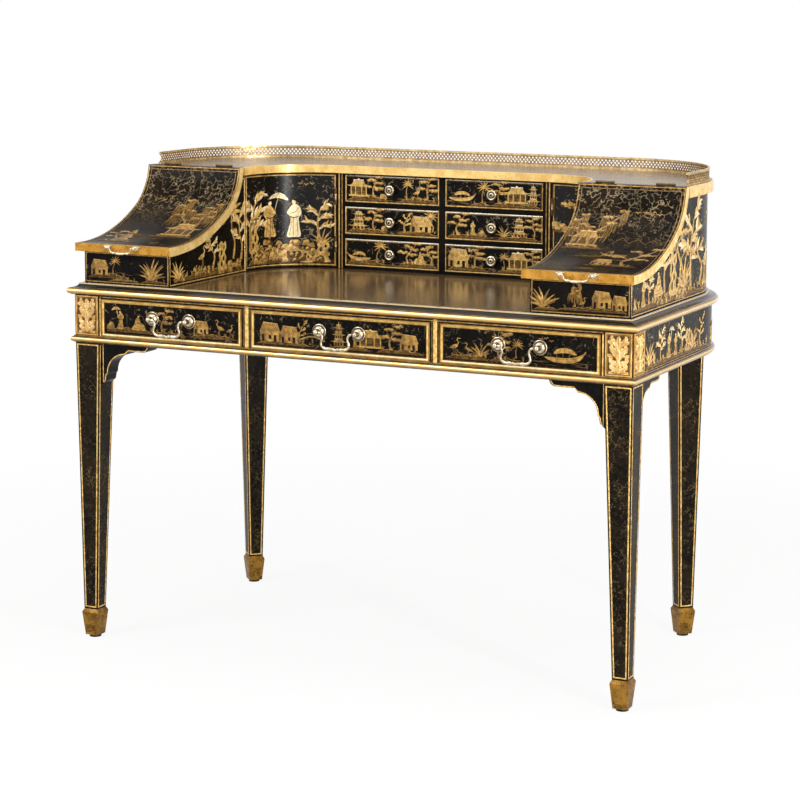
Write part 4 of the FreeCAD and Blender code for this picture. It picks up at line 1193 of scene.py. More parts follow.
@dataclass
class CornerOrnaments:
    """Carved and gilt leaf panels in frames, on the two outer faces of each front post.

    Attributes:
        pale_from: Share of the carving's height above which it gets the palest gold, a painted highlight.
        gold_from: Share above which it is gold rather than dark; below it the carving takes the dark colour
            of painted shade.
        leaves: Leaves right of the middle line: across, up, length, width, angle in degrees, height.
    """

    half: float = 620.0
    front: float = -332.2
    post: float = 58.0
    size: Point = (54.0, 83.0)
    middle: float = 693.4
    band: float = 5.0
    frame_reach: float = 3.2
    ground: float = 0.5
    reach: float = 4.3
    pitch: float = 0.8
    pale_from: float = 0.6
    gold_from: float = 0.34
    leaves: tuple[tuple[float, ...], ...] = (
        (0.0, -36.0, 26.0, 13.0, 90.0, 1.0), (3.0, -34.0, 20.0, 11.0, 40.0, 0.92),
        (6.0, -36.0, 15.0, 8.5, 6.0, 0.8), (14.0, -28.0, 18.0, 9.5, 98.0, 0.86),
        (2.0, -20.0, 20.0, 11.0, 28.0, 0.96), (14.0, -14.0, 14.0, 8.0, 70.0, 0.82),
        (0.0, -14.0, 24.0, 13.0, 90.0, 1.0), (3.0, -6.0, 19.0, 10.0, 52.0, 0.9),
        (12.0, -4.0, 13.0, 8.0, 14.0, 0.8), (15.0, 4.0, 16.0, 8.5, 96.0, 0.84),
        (2.0, 4.0, 20.0, 11.0, 34.0, 0.96), (0.0, 8.0, 28.0, 13.0, 90.0, 1.0),
        (3.0, 14.0, 22.0, 11.0, 56.0, 0.96), (10.0, 20.0, 15.0, 8.5, 22.0, 0.84),
        (16.0, 24.0, 13.0, 7.5, 100.0, 0.8),
    )

    def build(self, shop: Workshop) -> None:
        """Builds the four panels as one piece.

        Args:
            shop: Workshop that makes the materials.
        """
        work = Shape()
        inset = self.post / 2
        for sign, _ in SIDES:
            middle = Vector((sign * (self.half - inset), self.front, self.middle))
            self._panel(work, middle, Vector((1, 0, 0)))
            middle = Vector((sign * self.half, self.front + inset, self.middle))
            self._panel(work, middle, Vector((0, sign, 0)))
        finishes = (FRAME_GOLD, CARVED_GOLD, CARVED_SHADE, FRAME_GOLD)
        work.piece(
            "carved_corner_panels", "desk", "gilt_wood", [shop.material(f) for f in finishes],
            ["corner_ornaments"],
        )

    def _relief(self, u: float, v: float) -> float:
        """Works out the height of the carving.

        Args:
            u, v: A point of the panel, from its middle.

        Returns:
            The height there, from 0 to about 1.
        """
        best = 0.0
        for across, up, length, width, angle, height in self.leaves:
            turn = math.radians(angle)
            for flip in (1, -1):
                du, dv = u * flip - across, v - up
                along = du * math.cos(turn) + dv * math.sin(turn)
                beside = -du * math.sin(turn) + dv * math.cos(turn)
                t = along / length
                if not 0 < t < 1:
                    continue
                half = width / 2 * math.sin(math.pi * t**0.7) ** 0.6
                lobes = 1 + 0.16 * math.cos(t * 5 * math.pi)
                side = abs(beside) / (half * lobes)
                if side < 1:
                    vein = 1 - 0.5 * math.exp(-((beside / 0.8) ** 2))
                    best = max(best, height * (1 - side**2.4) ** 0.6 * vein * (0.62 + 0.38 * t))
        return best

    def _panel(self, work: Shape, middle: Vector, across: Vector) -> None:
        """Adds one framed panel.

        Args:
            work: Shape to add to.
            middle: Middle of the panel on the post's face.
            across: Direction to the right, as seen from outside.
        """
        up = Vector((0, 0, 1))
        out = across.cross(up)
        half_u, half_v = self.size[0] / 2, self.size[1] / 2

        def spot(u: float, v: float, lift: float) -> Vector:
            """Returns a point of the panel."""
            return middle + across * u + up * v + out * lift

        profile = (
            (0.0, 0.0), (0.0, 2.0), (0.7, 2.9), (1.7, self.frame_reach), (2.7, 2.9), (3.2, 2.2),
            (3.4, 1.2), (4.2, 1.2), (4.4, 1.9), (self.band, 1.8), (self.band, self.ground),
        )
        rows = []
        for inset, lift in profile:
            u, v = half_u - inset, half_v - inset
            rows.append([spot(-u, -v, lift), spot(u, -v, lift), spot(u, v, lift), spot(-u, v, lift)])
        # The frame's groove and its inner wall take the dark colour, painted shade.
        work.rows(rows, (0, 0, 0, 0, 0, 2, 2, 2, 0, 2))
        wide, tall = half_u - self.band, half_v - self.band
        columns = round(2 * wide / self.pitch)
        lines = round(2 * tall / self.pitch)
        start = len(work.points)
        heights = []
        for j in range(lines + 1):
            for i in range(columns + 1):
                u = -wide + 2 * wide * i / columns
                v = -tall + 2 * tall * j / lines
                heights.append(self._relief(u, v))
                work.points.append(spot(u, v, self.ground + heights[-1] * self.reach))
        for j in range(lines):
            for i in range(columns):
                a = j * (columns + 1) + i
                ring = (a, a + 1, a + columns + 2, a + columns + 1)
                work.faces.append(tuple(start + k for k in ring))
                crest = max(heights[k] for k in ring)
                # Painted light by height: pale highlight on the crests, gold between, dark shade low down.
                work.slots.append(1 if crest > self.pale_from else 3 if crest > self.gold_from else 2)


# ---------------------------------------------------------------- the faces that carry pictures
RIGHT, BACK, UP = Vector((1, 0, 0)), Vector((0, 1, 0)), Vector((0, 0, 1))


@dataclass
class Ground:
    """A face of the desk that raised work lies on, measured from its lower left.

    Attributes:
        limit: Gives the height that is free at a distance from the left, where that changes.
        bends: Axis along which the face is curved, 0 for across and 1 for up, or None.
        bend_step: Longest straight run along that axis.
    """

    width: float
    height: float
    limit: Callable[[float], float] | None = field(default=None, kw_only=True)
    bends: int | None = field(default=None, kw_only=True)
    bend_step: float = field(default=8.0, kw_only=True)

    def point(self, u: float, v: float, lift: float) -> Vector:
        """Returns the point across u and up v, lifted off the face."""
        raise NotImplementedError


@dataclass
class FlatGround(Ground):
    """A flat face.

    Attributes:
        side: 1, or -1 for a face that mirrors its opposite and is measured from the right.
    """

    corner: Vector
    across: Vector = field(default_factory=lambda: RIGHT)
    up: Vector = field(default_factory=lambda: UP)
    side: int = 1

    def point(self, u: float, v: float, lift: float) -> Vector:
        """Returns the point across u and up v, lifted off the face."""
        out = self.across.cross(self.up) * self.side
        return self.corner + self.across * u + self.up * v + out * lift


@dataclass
class TaperGround(Ground):
    """A flat face that narrows towards its foot, measured sideways from its middle line.

    Attributes:
        out: Direction away from the face.
    """

    foot: Vector
    head: Vector
    across: Vector
    out: Vector
    foot_width: float

    def point(self, u: float, v: float, lift: float) -> Vector:
        """Returns the point beside the middle line by u and up v, lifted off the face."""
        return self.foot.lerp(self.head, v / self.height) + self.across * u + self.out * lift

    def half(self, v: float) -> float:
        """Returns half the width at a height."""
        return (self.foot_width + (self.width - self.foot_width) * v / self.height) / 2


@dataclass
class RoundGround(Ground):
    """A hollow upright face that is part of a cylinder.

    Attributes:
        start: Angle of the left edge, in degrees; the face runs clockwise from it.
    """

    centre: Vector
    radius: float
    start: float

    def point(self, u: float, v: float, lift: float) -> Vector:
        """Returns the point across u and up v, lifted off the face."""
        angle = math.radians(self.start) - u / self.radius
        reach = self.radius - lift
        return self.centre + Vector((reach * math.cos(angle), reach * math.sin(angle), v))


@dataclass
class WallGround(Ground):
    """An outer wall, measured straight back from the front and then round the rear corner.

    Attributes:
        corner: Distance of the corner's middle from the desk's middle, and its depth.
    """

    side: int
    half: float
    front: float
    bottom: float
    corner: Point = (360.0, 81.8)

    def point(self, u: float, v: float, lift: float) -> Vector:
        """Returns the point across u and up v, lifted off the face."""
        across, depth = self.corner
        straight = depth - self.front
        radius = self.half - across
        x, y = self.half + lift, self.front + u
        if u > straight:
            angle = (u - straight) / radius
            x, y = across + (radius + lift) * math.cos(angle), depth + (radius + lift) * math.sin(angle)
        return Vector((self.side * x, y, self.bottom + v))


@dataclass
class LidGround(Ground):
    """The swept upper face of a lid, measured up along the curve.

    Attributes:
        arcs: Radius and end angle in degrees of each arc that follows.
    """

    left: float
    front: float = -331.2
    base: float = 843.84
    flat: float = 22.0
    arcs: tuple[Point, ...] = ((398.0, 32.0), (121.0, 81.0))

    def point(self, u: float, v: float, lift: float) -> Vector:
        """Returns the point across u and up v, lifted off the face."""
        y, z, angle = self.front + min(v, self.flat), self.base, 0.0
        rest = max(v - self.flat, 0.0)
        for radius, end in self.arcs:
            turn = min(rest / radius, math.radians(end) - angle)
            y += radius * (math.sin(angle + turn) - math.sin(angle))
            z += radius * (math.cos(angle) - math.cos(angle + turn))
            angle += turn
            rest -= turn * radius
        return Vector((self.left + u, y - math.sin(angle) * lift, z + math.cos(angle) * lift))


def under_lid(y: float) -> float:
    """Works out the height of a lid's underside, which follows two arcs and the shelf.

    Args:
        y: Depth.

    Returns:
        The height there.
    """
    if y < -89.3:
        return 1241.84 - math.sqrt(max(415.0**2 - max(y + 309.2, 0.0) ** 2, 0.0))
    return min(1006.92 - math.sqrt(max(138.0**2 - (y + 162.41) ** 2, 0.0)), 966.0)


# ---------------------------------------------------------------- raised work
class Sheet:
    """Raised gilt work, drawn flat and then laid on a ground."""

    START = 0.22
    LEVEL = 0.26
    STEP = 0.004
    CYCLE = 60
    SKIRT = -0.06
    CROWN = 0.62
    EDGE = 0.5

    def __init__(self, ground: Ground, seed: int = 0, palette: dict[Tone, Finish] = TONE_FINISHES) -> None:
        """Starts an empty sheet.

        Args:
            ground: Face that it is laid on.
            seed: Seed of its random draws.
            palette: Finish of each tone.
        """
        self.ground = ground
        self.palette = palette
        self.draw = random.Random(seed)
        self.points: list[Spot] = []
        self.faces: list[tuple[int, ...]] = []
        self.tones: list[int] = []
        self.count = 0

    def _lift(self, level: float) -> float:
        """Returns the lift of the next item, a hair above the one before it."""
        self.count += 1
        return self.START + self.LEVEL * level + self.STEP * (self.count % self.CYCLE)

    def ribbon(
        self, path: Sequence[Point], widths: float | Sequence[float], tone: Tone, level: float = 2,
        steps: int = 4, closed: bool = False, crown: float = CROWN,
    ) -> None:
        """Draws a raised line.

        Args:
            path: Points that it goes through.
            widths: Its width, or its widths from start to end.
            tone: Its tone.
            level: Layer that it lies in, 0 lowest.
            steps: Steps between two points; 1 keeps the corners.
            closed: Whether it comes back to its start.
            crown: Share of its width that is flat.
        """
        line = smooth(path, steps, closed) if steps > 1 else list(path)
        if closed:
            line = line + [line[0]]
        top = self._lift(level)
        values = (widths,) if isinstance(widths, (int, float)) else widths
        start = len(self.points)
        last = len(line) - 1
        for index, (x, y) in enumerate(line):
            before = line[index - 1] if index else (line[-2] if closed else line[0])
            after = line[index + 1] if index < last else (line[1] if closed else line[-1])
            dx, dy = after[0] - before[0], after[1] - before[1]
            size = math.hypot(dx, dy) or 1.0
            share = index / last * (len(values) - 1)
            low = min(int(share), max(len(values) - 2, 0))
            high = min(low + 1, len(values) - 1)
            half = (values[low] + (values[high] - values[low]) * (share - low)) / 2
            if steps == 1 and 0 < index < last:
                first = Vector((x - before[0], y - before[1])).normalized()
                second = Vector((after[0] - x, after[1] - y)).normalized()
                half /= max(math.sqrt(max((1 + first.dot(second)) / 2, 0.0)), 0.5)
                total = first + second
                if total.length > 0.01:
                    dx, dy = total
                    size = total.length
            nx, ny = -dy / size * half, dx / size * half
            for way, rise in ((1, self.SKIRT), (crown, top), (-crown, top), (-1, self.SKIRT)):
                self.points.append((x + nx * way, y + ny * way, rise))
        for low in range(start, start + 4 * last, 4):
            for j in range(low, low + 3):
                self._face((j, j + 4, j + 5, j + 1), tone)
        if not closed:
            self._face((start, start + 1, start + 2, start + 3), tone)
            end = start + 4 * last
            self._face((end + 3, end + 2, end + 1, end), tone)

    def patch(
        self, outline: Sequence[Point], tone: Tone, level: float = 1,
        holes: Sequence[Sequence[Point]] = (), steps: int = 3,
    ) -> None:
        """Draws a raised flat shape.

        Args:
            outline: Points round it.
            tone: Its tone.
            level: Layer that it lies in.
            holes: Points round each hole.
            steps: Steps between two points; 1 keeps the corners.
        """
        loops = [smooth(loop, steps, True) if steps > 1 else list(loop) for loop in (outline, *holes)]
        top = self._lift(level)
        triangles = tessellate_polygon([[Vector((x, y, 0)) for x, y in loop] for loop in loops])
        start = len(self.points)
        for loop in loops:
            self.points += [(x, y, top) for x, y in loop]
        for a, b, c in triangles:
            (ax, ay, _), (bx, by, _), (cx, cy, _) = (self.points[start + k] for k in (a, b, c))
            is_left = (bx - ax) * (cy - ay) - (cx - ax) * (by - ay) > 0
            self._face(tuple(start + k for k in ((a, b, c) if is_left else (a, c, b))), tone)
        for number, loop in enumerate(loops):
            base = len(self.points)
            self.points += [(x, y, self.SKIRT) for x, y in loop]
            for j in range(len(loop)):
                k = (j + 1) % len(loop)
                ring = (start + j, base + j, base + k, start + k)
                self._face(ring[::-1] if number else ring, tone)
            start += len(loop)

    def _face(self, ring: tuple[int, ...], tone: Tone) -> None:
        """Adds one face in a tone."""
        self.faces.append(ring)
        self.tones.append(tone.value)

    def border(self, inset: float, width: float, tone: Tone = Tone.GOLD, level: float = 1) -> None:
        """Draws a line round the whole ground.

        Args:
            inset: Distance of the line's middle from the edge.
            width: Width of the line.
            tone: Its tone.
            level: Layer that it lies in.
        """
        wide, tall, limit = self.ground.width - inset, self.ground.height, self.ground.limit
        tops = [(wide, tall - inset), (inset, tall - inset)]
        if limit:
            count = 40
            across = [inset + (self.ground.width - 2 * inset) * k / count for k in range(count, -1, -1)]
            tops = [(u, limit(u) - inset) for u in across]
        self.ribbon([(inset, inset), (wide, inset), *tops], width, tone, level, 1, True)

    def frame(self, inset: float, *lines: tuple[float, Tone, float], crown: float = CROWN) -> None:
        """Draws a straight line along each edge.

        Args:
            inset: Distance of the lines' middles from the edge.
            lines: Width, tone and layer of the top line, of the side lines and of the bottom line.
            crown: Share of their width that is flat.
        """
        wide, tall = self.ground.width, self.ground.height
        top, sides, bottom = lines
        reach = sides[0] / 2
        for u in (inset, wide - inset):
            self.ribbon([(u, inset), (u, tall - inset)], *sides, 1, crown=crown)
        for v, line in ((inset, bottom), (tall - inset, top)):
            self.ribbon([(inset - reach, v), (wide - inset + reach, v)], *line, 1, crown=crown)

    def piece(self, name: str, body: str, shop: Workshop) -> None:
        """Lays the sheet on its ground and makes the object.

        Args:
            name: Name of the piece.
            body: Body that it rides on.
            shop: Workshop that makes the materials.
        """
        mesh = bpy.data.meshes.new(name)
        mesh.from_pydata(self.points, [], self.faces)
        mesh.polygons.foreach_set("material_index", self.tones)
        work = bmesh.new()
        work.from_mesh(mesh)
        ground = self.ground
        if ground.bends is not None:
            axis, reach = ((RIGHT, ground.width), (BACK, ground.height))[ground.bends]
            count = round(reach / ground.bend_step)
            for index in range(1, count):
                everything = work.verts[:] + work.edges[:] + work.faces[:]
                spot = axis * (reach * index / count)
                bmesh.ops.bisect_plane(work, geom=everything, plane_co=spot, plane_no=axis, dist=0.001)
        for vert in work.verts:
            u, v, lift = vert.co
            u = min(max(u, self.EDGE), ground.width - self.EDGE)
            ceiling = ground.limit(u) if ground.limit else ground.height
            v = min(max(v, self.EDGE), ceiling - self.EDGE)
            vert.co = ground.point(u, v, lift) * MM
        bmesh.ops.dissolve_degenerate(work, dist=0.01 * MM, edges=work.edges)
        bmesh.ops.recalc_face_normals(work, faces=work.faces)
        work.to_mesh(mesh)
        work.free()
        add_piece(name, mesh, body, [shop.material(self.palette[tone]) for tone in Tone])


class Foliage(Enum):
    """Kinds of tree."""

    PADS = "flat clouds of needles"
    WILLOW = "hanging strands"
    BLOSSOM = "bare twigs with blossom"
    PALM = "fan of fronds"
    LEAVES = "large pointed leaves"


class Posture(Enum):
    """What a small figure does."""

    STANDING = "stands with folded sleeves"
    PARASOL = "carries a parasol"
    SEATED = "sits"


class Roofed(Enum):
    """Kinds of building."""

    HUT = "thatched hut"
    PAVILION = "open pavilion"
    PAGODA = "tower of roofs"


def oval(x: float, y: float, across: float, up: float) -> list[Point]:
    """Returns eight points round an oval, given its middle and half its size."""
    return [(x + math.cos(a) * across, y + math.sin(a) * up) for a in turns(8)]


def pairs(*values: float) -> list[Point]:
    """Pairs numbers into points, across and up in turn."""
    return list(zip(values[::2], values[1::2]))


ROBE = pairs(
    -.15, 0, -.13, .2, -.1, .45, -.17, .56, -.15, .7, -.06, .8, .04, .81, .12, .72, .2, .6, .13, .52,
    .1, .42, .15, .2, .2, 0, .02, -.02,
)
FOLDS = (
    pairs(-.06, .48, -.07, .25, -.09, .03), pairs(.03, .48, .04, .25, .03, .02),
    pairs(.08, .4, .1, .22, .13, .03), pairs(-.1, .72, 0, .6, .15, .58),
)
SEATED_ROBE = pairs(
    -.34, 0, -.4, .12, -.24, .34, -.16, .62, -.02, .72, .12, .62, .16, .44, .36, .36, .46, .14, .4, 0
)
SEATED_FOLDS = (
    pairs(-.1, .6, .02, .42, .24, .34), pairs(-.22, .3, 0, .2, .3, .2), pairs(-.3, .12, 0, .08, .36, .08),
)


class Picture(Sheet):
    """A sheet with a stock of traditional garden and river motifs.

    Most motifs take the middle of their foot, across and up, and then their size.
    """

    def __init__(self, ground: Ground, seed: int, palette: dict[Tone, Finish] = TONE_FINISHES) -> None:
        """Starts an empty picture and names its motifs.

        Args:
            ground: Face that it is laid on.
            seed: Seed of its random draws.
            palette: Finish of each tone.
        """
        super().__init__(ground, seed, palette)
        motifs = (
            self.bank, self.rubble, self.rock, self.grotto, self.spiky, self.tuft, self.crane, self.flock,
            self.boat, self.bridge, self.water, self.hills,
        )
        self.stock: dict[str, Callable[..., None]] = {motif.__name__: motif for motif in motifs}
        for kinds, draw in ((Foliage, self.tree), (Posture, self.figure), (Roofed, self.building)):
            self.stock |= {kind.name.lower(): partial(draw, kind) for kind in kinds}

    def view(self, text: str) -> None:
        """Draws the motifs of a text in order.

        Args:
            text: Motifs with commas between them, each as its name, numbers and tones.
        """
        for phrase in text.split(","):
            name, *words = phrase.split()
            self.stock[name](*(Tone[word] if word.isupper() else float(word) for word in words))

    def near(self, value: float, share: float = 0.12) -> float:
        """Returns a value varied a little at random."""
        return value * (1 + self.draw.uniform(-share, share))

    @staticmethod
    def fitted(x: float, y: float, width: float, height: float) -> Callable[[Sequence[Point]], list[Point]]:
        """Returns a function that scales unit points to a motif; a negative width mirrors it."""
        return lambda loop: [(x + px * width, y + py * height) for px, py in loop]

    def leaf(self, x: float, y: float, length: float, angle: float, width: float, tone: Tone) -> None:
        """Draws one pointed leaf.

        Args:
            x, y: Its foot.
            length: Its length.
            angle: Its direction in degrees.
            width: Its greatest width.
            tone: Its tone.
        """
        turn = math.radians(angle)
        droop = math.radians(angle - math.copysign(16, math.cos(turn)))
        middle = (x + math.cos(turn) * length * 0.5, y + math.sin(turn) * length * 0.5)
        tip = (middle[0] + math.cos(droop) * length * 0.5, middle[1] + math.sin(droop) * length * 0.5)
        self.ribbon([(x, y), middle, tip], (width * 0.35, width, width * 0.7, 0.15), tone, 1.6, 3)

    def spiky(self, x: float, y: float, size: float, count: float = 9) -> None:
        """Draws a clump of sword leaves that fan out from one foot.

        Args:
            x, y: Its foot.
            size: Its height.
            count: Number of leaves.
        """
        for index in range(int(count)):
            angle = 18 + 144 * (index + 0.5) / count + self.draw.uniform(-6, 6)
            length = size * (0.72 + 0.3 * math.sin(math.pi * (index + 0.5) / count))
            self.leaf(x, y, self.near(length), angle, size * 0.13, Tone.GOLD if index % 3 else Tone.OCHRE)

    def tuft(self, x: float, y: float, size: float, count: float = 5) -> None:
        """Draws a tuft of grass.

        Args:
            x, y: Its foot.
            size: Its height.
            count: Number of blades.
        """
        for index in range(int(count)):
            angle = 50 + 80 * (index + 0.5) / count + self.draw.uniform(-8, 8)
            foot = x + (index - count / 2) * size * 0.12
            tone = Tone.GOLD if index % 2 else Tone.OCHRE
            self.leaf(foot, y, self.near(size, 0.3), angle, size * 0.14, tone)

    def rock(self, x: float, y: float, width: float, height: float, tone: Tone = Tone.OCHRE) -> None:
        """Draws a boulder with a dark edge, a bright crown and hatching.

        Args:
            x, y: Middle of its foot.
            width, height: Its size.
            tone: Tone of its face.
        """
        crest = []
        for index in range(8):
            angle = math.pi * index / 7
            bump = 1 + self.draw.uniform(-0.2, 0.16)
            crest.append((x + math.cos(angle) * width / 2 * bump, y + math.sin(angle) * height * bump))
        feet = [(x - width * 0.46, y - height * 0.12), (x + width * 0.46, y - height * 0.12)]
        level = 0.9 + self.draw.uniform(0, 0.5)
        edge = [(x + (px - x) * 1.12, y + (py - y) * 1.12) for px, py in feet + crest]
        self.patch(edge, Tone.INK, level - 0.35, steps=2)
        self.patch(feet + crest, tone, level, steps=2)
        left, low = x - width * 0.05, y + height * 0.22
        crown = [(left + (px - x) * 0.66, low + (py - y) * 0.62) for px, py in crest[2:8]]
        self.patch(crown, Tone.GOLD, level + 0.4, steps=2)
        for index in range(3):
            sx = x + width * (0.06 + 0.12 * index)
            hatch = [(sx, y + height * 0.02), (sx + width * 0.05, y + height * (0.5 - 0.1 * index))]
            self.ribbon(hatch, (0.7, 0.2), Tone.BROWN, level + 0.7, 1)

    def rubble(self, start: float, end: float, y: float, size: float) -> None:
        """Draws heaped boulders of uneven size, the far ones first.

        Args:
            start, end: Ends of the heap.
            y: Its foot.
            size: Usual width of a boulder.
        """
        count = max(round((end - start) / (size * 1.1)), 2)
        for row in (2, 1, 0):
            for index in range(count - row):
                share = (index + 0.5 + self.draw.uniform(-0.4, 0.4)) / (count - row)
                wide = size * self.draw.uniform(0.55, 1.35)
                low = y + size * (0.42 * row + self.draw.uniform(-0.12, 0.16))
                tone = Tone.OCHRE if self.draw.random() < 0.6 else Tone.BROWN
                px = start + size * 0.5 + (end - start - size) * share
                self.rock(px, low, wide, wide * self.draw.uniform(0.55, 0.8), tone)

    def bank(self, start: float, end: float, y: float, height: float, tone: Tone = Tone.BROWN) -> None:
        """Draws a low bank of earth with a bright rim and tufts.

        Args:
            start, end: Its ends.
            y: Its foot.
            height: Its height.
            tone: Tone of the earth.
        """
        span = end - start
        count = max(round(span / 9), 3)
        crest = []
        for index in range(count + 1):
            share = index / count
            rise = math.sin(math.pi * share) ** 0.5 * self.near(height, 0.35)
            crest.append((start + span * share, y + rise))
        self.patch(crest[::-1] + [(start, y - 0.6), (end, y - 0.6)], tone, 0.4, steps=2)
        self.ribbon(crest, (0.3, 1.1, 0.8, 1.1, 0.3), Tone.GOLD, 1.2)
        for index in range(count):
            sx = start + span * (index + self.draw.random()) / count
            low = y + height * self.draw.uniform(0.05, 0.35)
            self.ribbon([(sx, low), (sx + 5, low + 0.8), (sx + 10, low)], (0.2, 0.7, 0.2), Tone.OCHRE, 1.4)
            if index % 2:
                self.tuft(sx, y + height * 0.6, self.near(height * 0.8 + 2.5, 0.3), 4)

    def grotto(self, x: float, y: float, width: float, height: float) -> None:
        """Draws a tall garden rock with holes worn through it.

        Args:
            x, y: Middle of its foot.
            width, height: Its size.
        """
        fit = self.fitted(x, y, width, height)
        outline = pairs(
            -.44, 0, -.5, .22, -.3, .34, -.42, .52, -.28, .72, -.36, .88, -.08, 1, .12, .9, .4, .98,
            .46, .74, .28, .6, .5, .42, .36, .24, .5, 0,
        )
        holes = (
            pairs(-.2, .14, -.02, .1, .02, .26, -.16, .3), pairs(.12, .3, .26, .36, .2, .5, .06, .44),
            pairs(-.16, .5, 0, .56, -.04, .74, -.2, .68), pairs(.16, .72, .3, .74, .26, .86, .14, .82),
        )
        self.patch(fit(outline), Tone.GOLD, 1.1, [fit(hole) for hole in holes])
        for vein in (
            pairs(-.4, .1, -.36, .3, -.22, .4, -.3, .6), pairs(.4, .1, .24, .2, .4, .36),
            pairs(-.1, .94, .06, .8, .02, .6),
        ):
            self.ribbon(fit(vein), 0.6, Tone.BROWN)

    def pad(self, x: float, y: float, width: float, height: float) -> None:
        """Draws a cloud of foliage as overlapping tufts, each with a bright crown.

        Args:
            x, y: Its middle.
            width, height: Its size.
        """
        count = max(round(width / height * 2.2), 4)
        for index in range(count):
            share = (index + 0.5) / count
            sx = x + (share - 0.5) * width + self.draw.uniform(-0.06, 0.06) * width
            sy = y + self.draw.uniform(-0.2, 0.24) * height
            size = height * self.draw.uniform(0.42, 0.62) * (0.7 + 0.5 * math.sin(math.pi * share))
            ring = []
            for turn in turns(7):
                reach = size * (1 + self.draw.uniform(-0.28, 0.2))
                ring.append((sx + math.cos(turn) * reach, sy + math.sin(turn) * reach * 0.72))
            self.patch(ring, Tone.OCHRE if index % 3 else Tone.BROWN, 1.1, steps=2)
            left, low = sx - size * 0.08, sy + size * 0.2
            crown = [(left + (px - sx) * 0.58, low + (py - sy) * 0.5) for px, py in ring]
            self.patch(crown, Tone.GOLD, 2.2, steps=2)

    def tree(self, kind: Foliage, x: float, y: float, height: float, lean: float = 0.2) -> None:
        """Draws a tree.

        Args:
            kind: Its foliage.
            x, y: Foot of the trunk.
            height: Height of the tree.
            lean: How far its top leans to the right, as a share of its height.
        """
        trunk = self.fitted(x, y, height, height)(
            [(0, 0), (0.03 - 0.35 * lean, 0.28), (lean * 0.3 - 0.03, 0.52), (lean, 0.84)]
        )
        thick = height * (0.05 if kind in (Foliage.PALM, Foliage.WILLOW) else 0.065) + 0.5
        self.ribbon(trunk, (thick * 1.5, thick, thick * 0.8, thick * 0.35), Tone.OCHRE, 1.2)
        edge = [(px - thick * 0.3, py) for px, py in trunk]
        self.ribbon(edge, (thick * 0.3, thick * 0.25, 0.3), Tone.GOLD)
        if kind is Foliage.PALM:
            for index in range(9):
                angle = -25 + 230 * index / 8
                self.leaf(*trunk[-1], self.near(height * 0.42), angle, height * 0.075, Tone.GOLD)
            return
        line = smooth(trunk, 8)
        for index, share in enumerate((0.42, 0.56, 0.7, 0.84, 1.0)):
            bx, by = line[round(share * (len(line) - 1))]
            way = -1 if index % 2 else 1
            length = height * (0.36 - 0.05 * index) * (0.9 if kind is Foliage.WILLOW else 1.0)
            tip = (bx + way * length, by + height * (0.1 + 0.02 * index))
            bend = ((bx + tip[0]) / 2, by + height * (0.02 if kind is Foliage.BLOSSOM else 0.1))
            self.ribbon([(bx, by), bend, tip], (thick * 0.5, thick * 0.35, 0.4), Tone.OCHRE, 1.3)
            self._foliage(kind, height, index, way, smooth([(bx, by), bend, tip], 5), bend)

    def _foliage(
        self, kind: Foliage, height: float, index: int, way: int, twig: Sequence[Point], bend: Point
    ) -> None:
        """Draws what grows on one branch.

        Args:
            kind: Foliage of the tree.
            height: Height of the tree.
            index: Number of the branch.
            way: 1 if it grows to the right, -1 to the left.
            twig: Points along it.
            bend: Its middle.
        """
        if kind is Foliage.PADS:
            full = height * (1 + max(0.0, 60 - height) / 44)
            self.pad(*twig[-1], self.near(full * 0.34), self.near(full * 0.12))
            if index % 2 == 0:
                self.pad(bend[0], bend[1] + height * 0.05, full * 0.2, full * 0.08)
        elif kind is Foliage.WILLOW:
            self.pad(bend[0], bend[1] + height * 0.03, height * 0.2, height * 0.08)
            for k, (sx, sy) in enumerate(twig[2:]):
                drop = self.near(height * (0.26 + 0.05 * (k % 3)), 0.2)
                ends = [(sx, sy), (sx + way * 2, sy - drop * 0.5), (sx + way * 1.2, sy - drop)]
                self.ribbon(ends, (0.5, 1.1, 0.2), Tone.GOLD if k % 2 else Tone.OCHRE, 2.2, 3)
        elif kind is Foliage.BLOSSOM:
            for sx, sy in twig[2:]:
                ox, oy = self.draw.uniform(-2, 2), self.draw.uniform(0, 3)
                self.dot(sx + ox, sy + oy, self.near(height * 0.018 + 0.7, 0.3))
        else:
            for k, (sx, sy) in enumerate(twig[1:]):
                angle = (90 - way * 50) + self.draw.uniform(-50, 50)
                tone = Tone.GOLD if k % 3 else Tone.PALE
                self.leaf(sx, sy, self.near(height * 0.17, 0.25), angle, height * 0.062, tone)

    def dot(self, x: float, y: float, radius: float, tone: Tone = Tone.GOLD) -> None:
        """Draws a round dot."""
        self.patch(oval(x, y, radius, radius), tone, 2.4, steps=1)

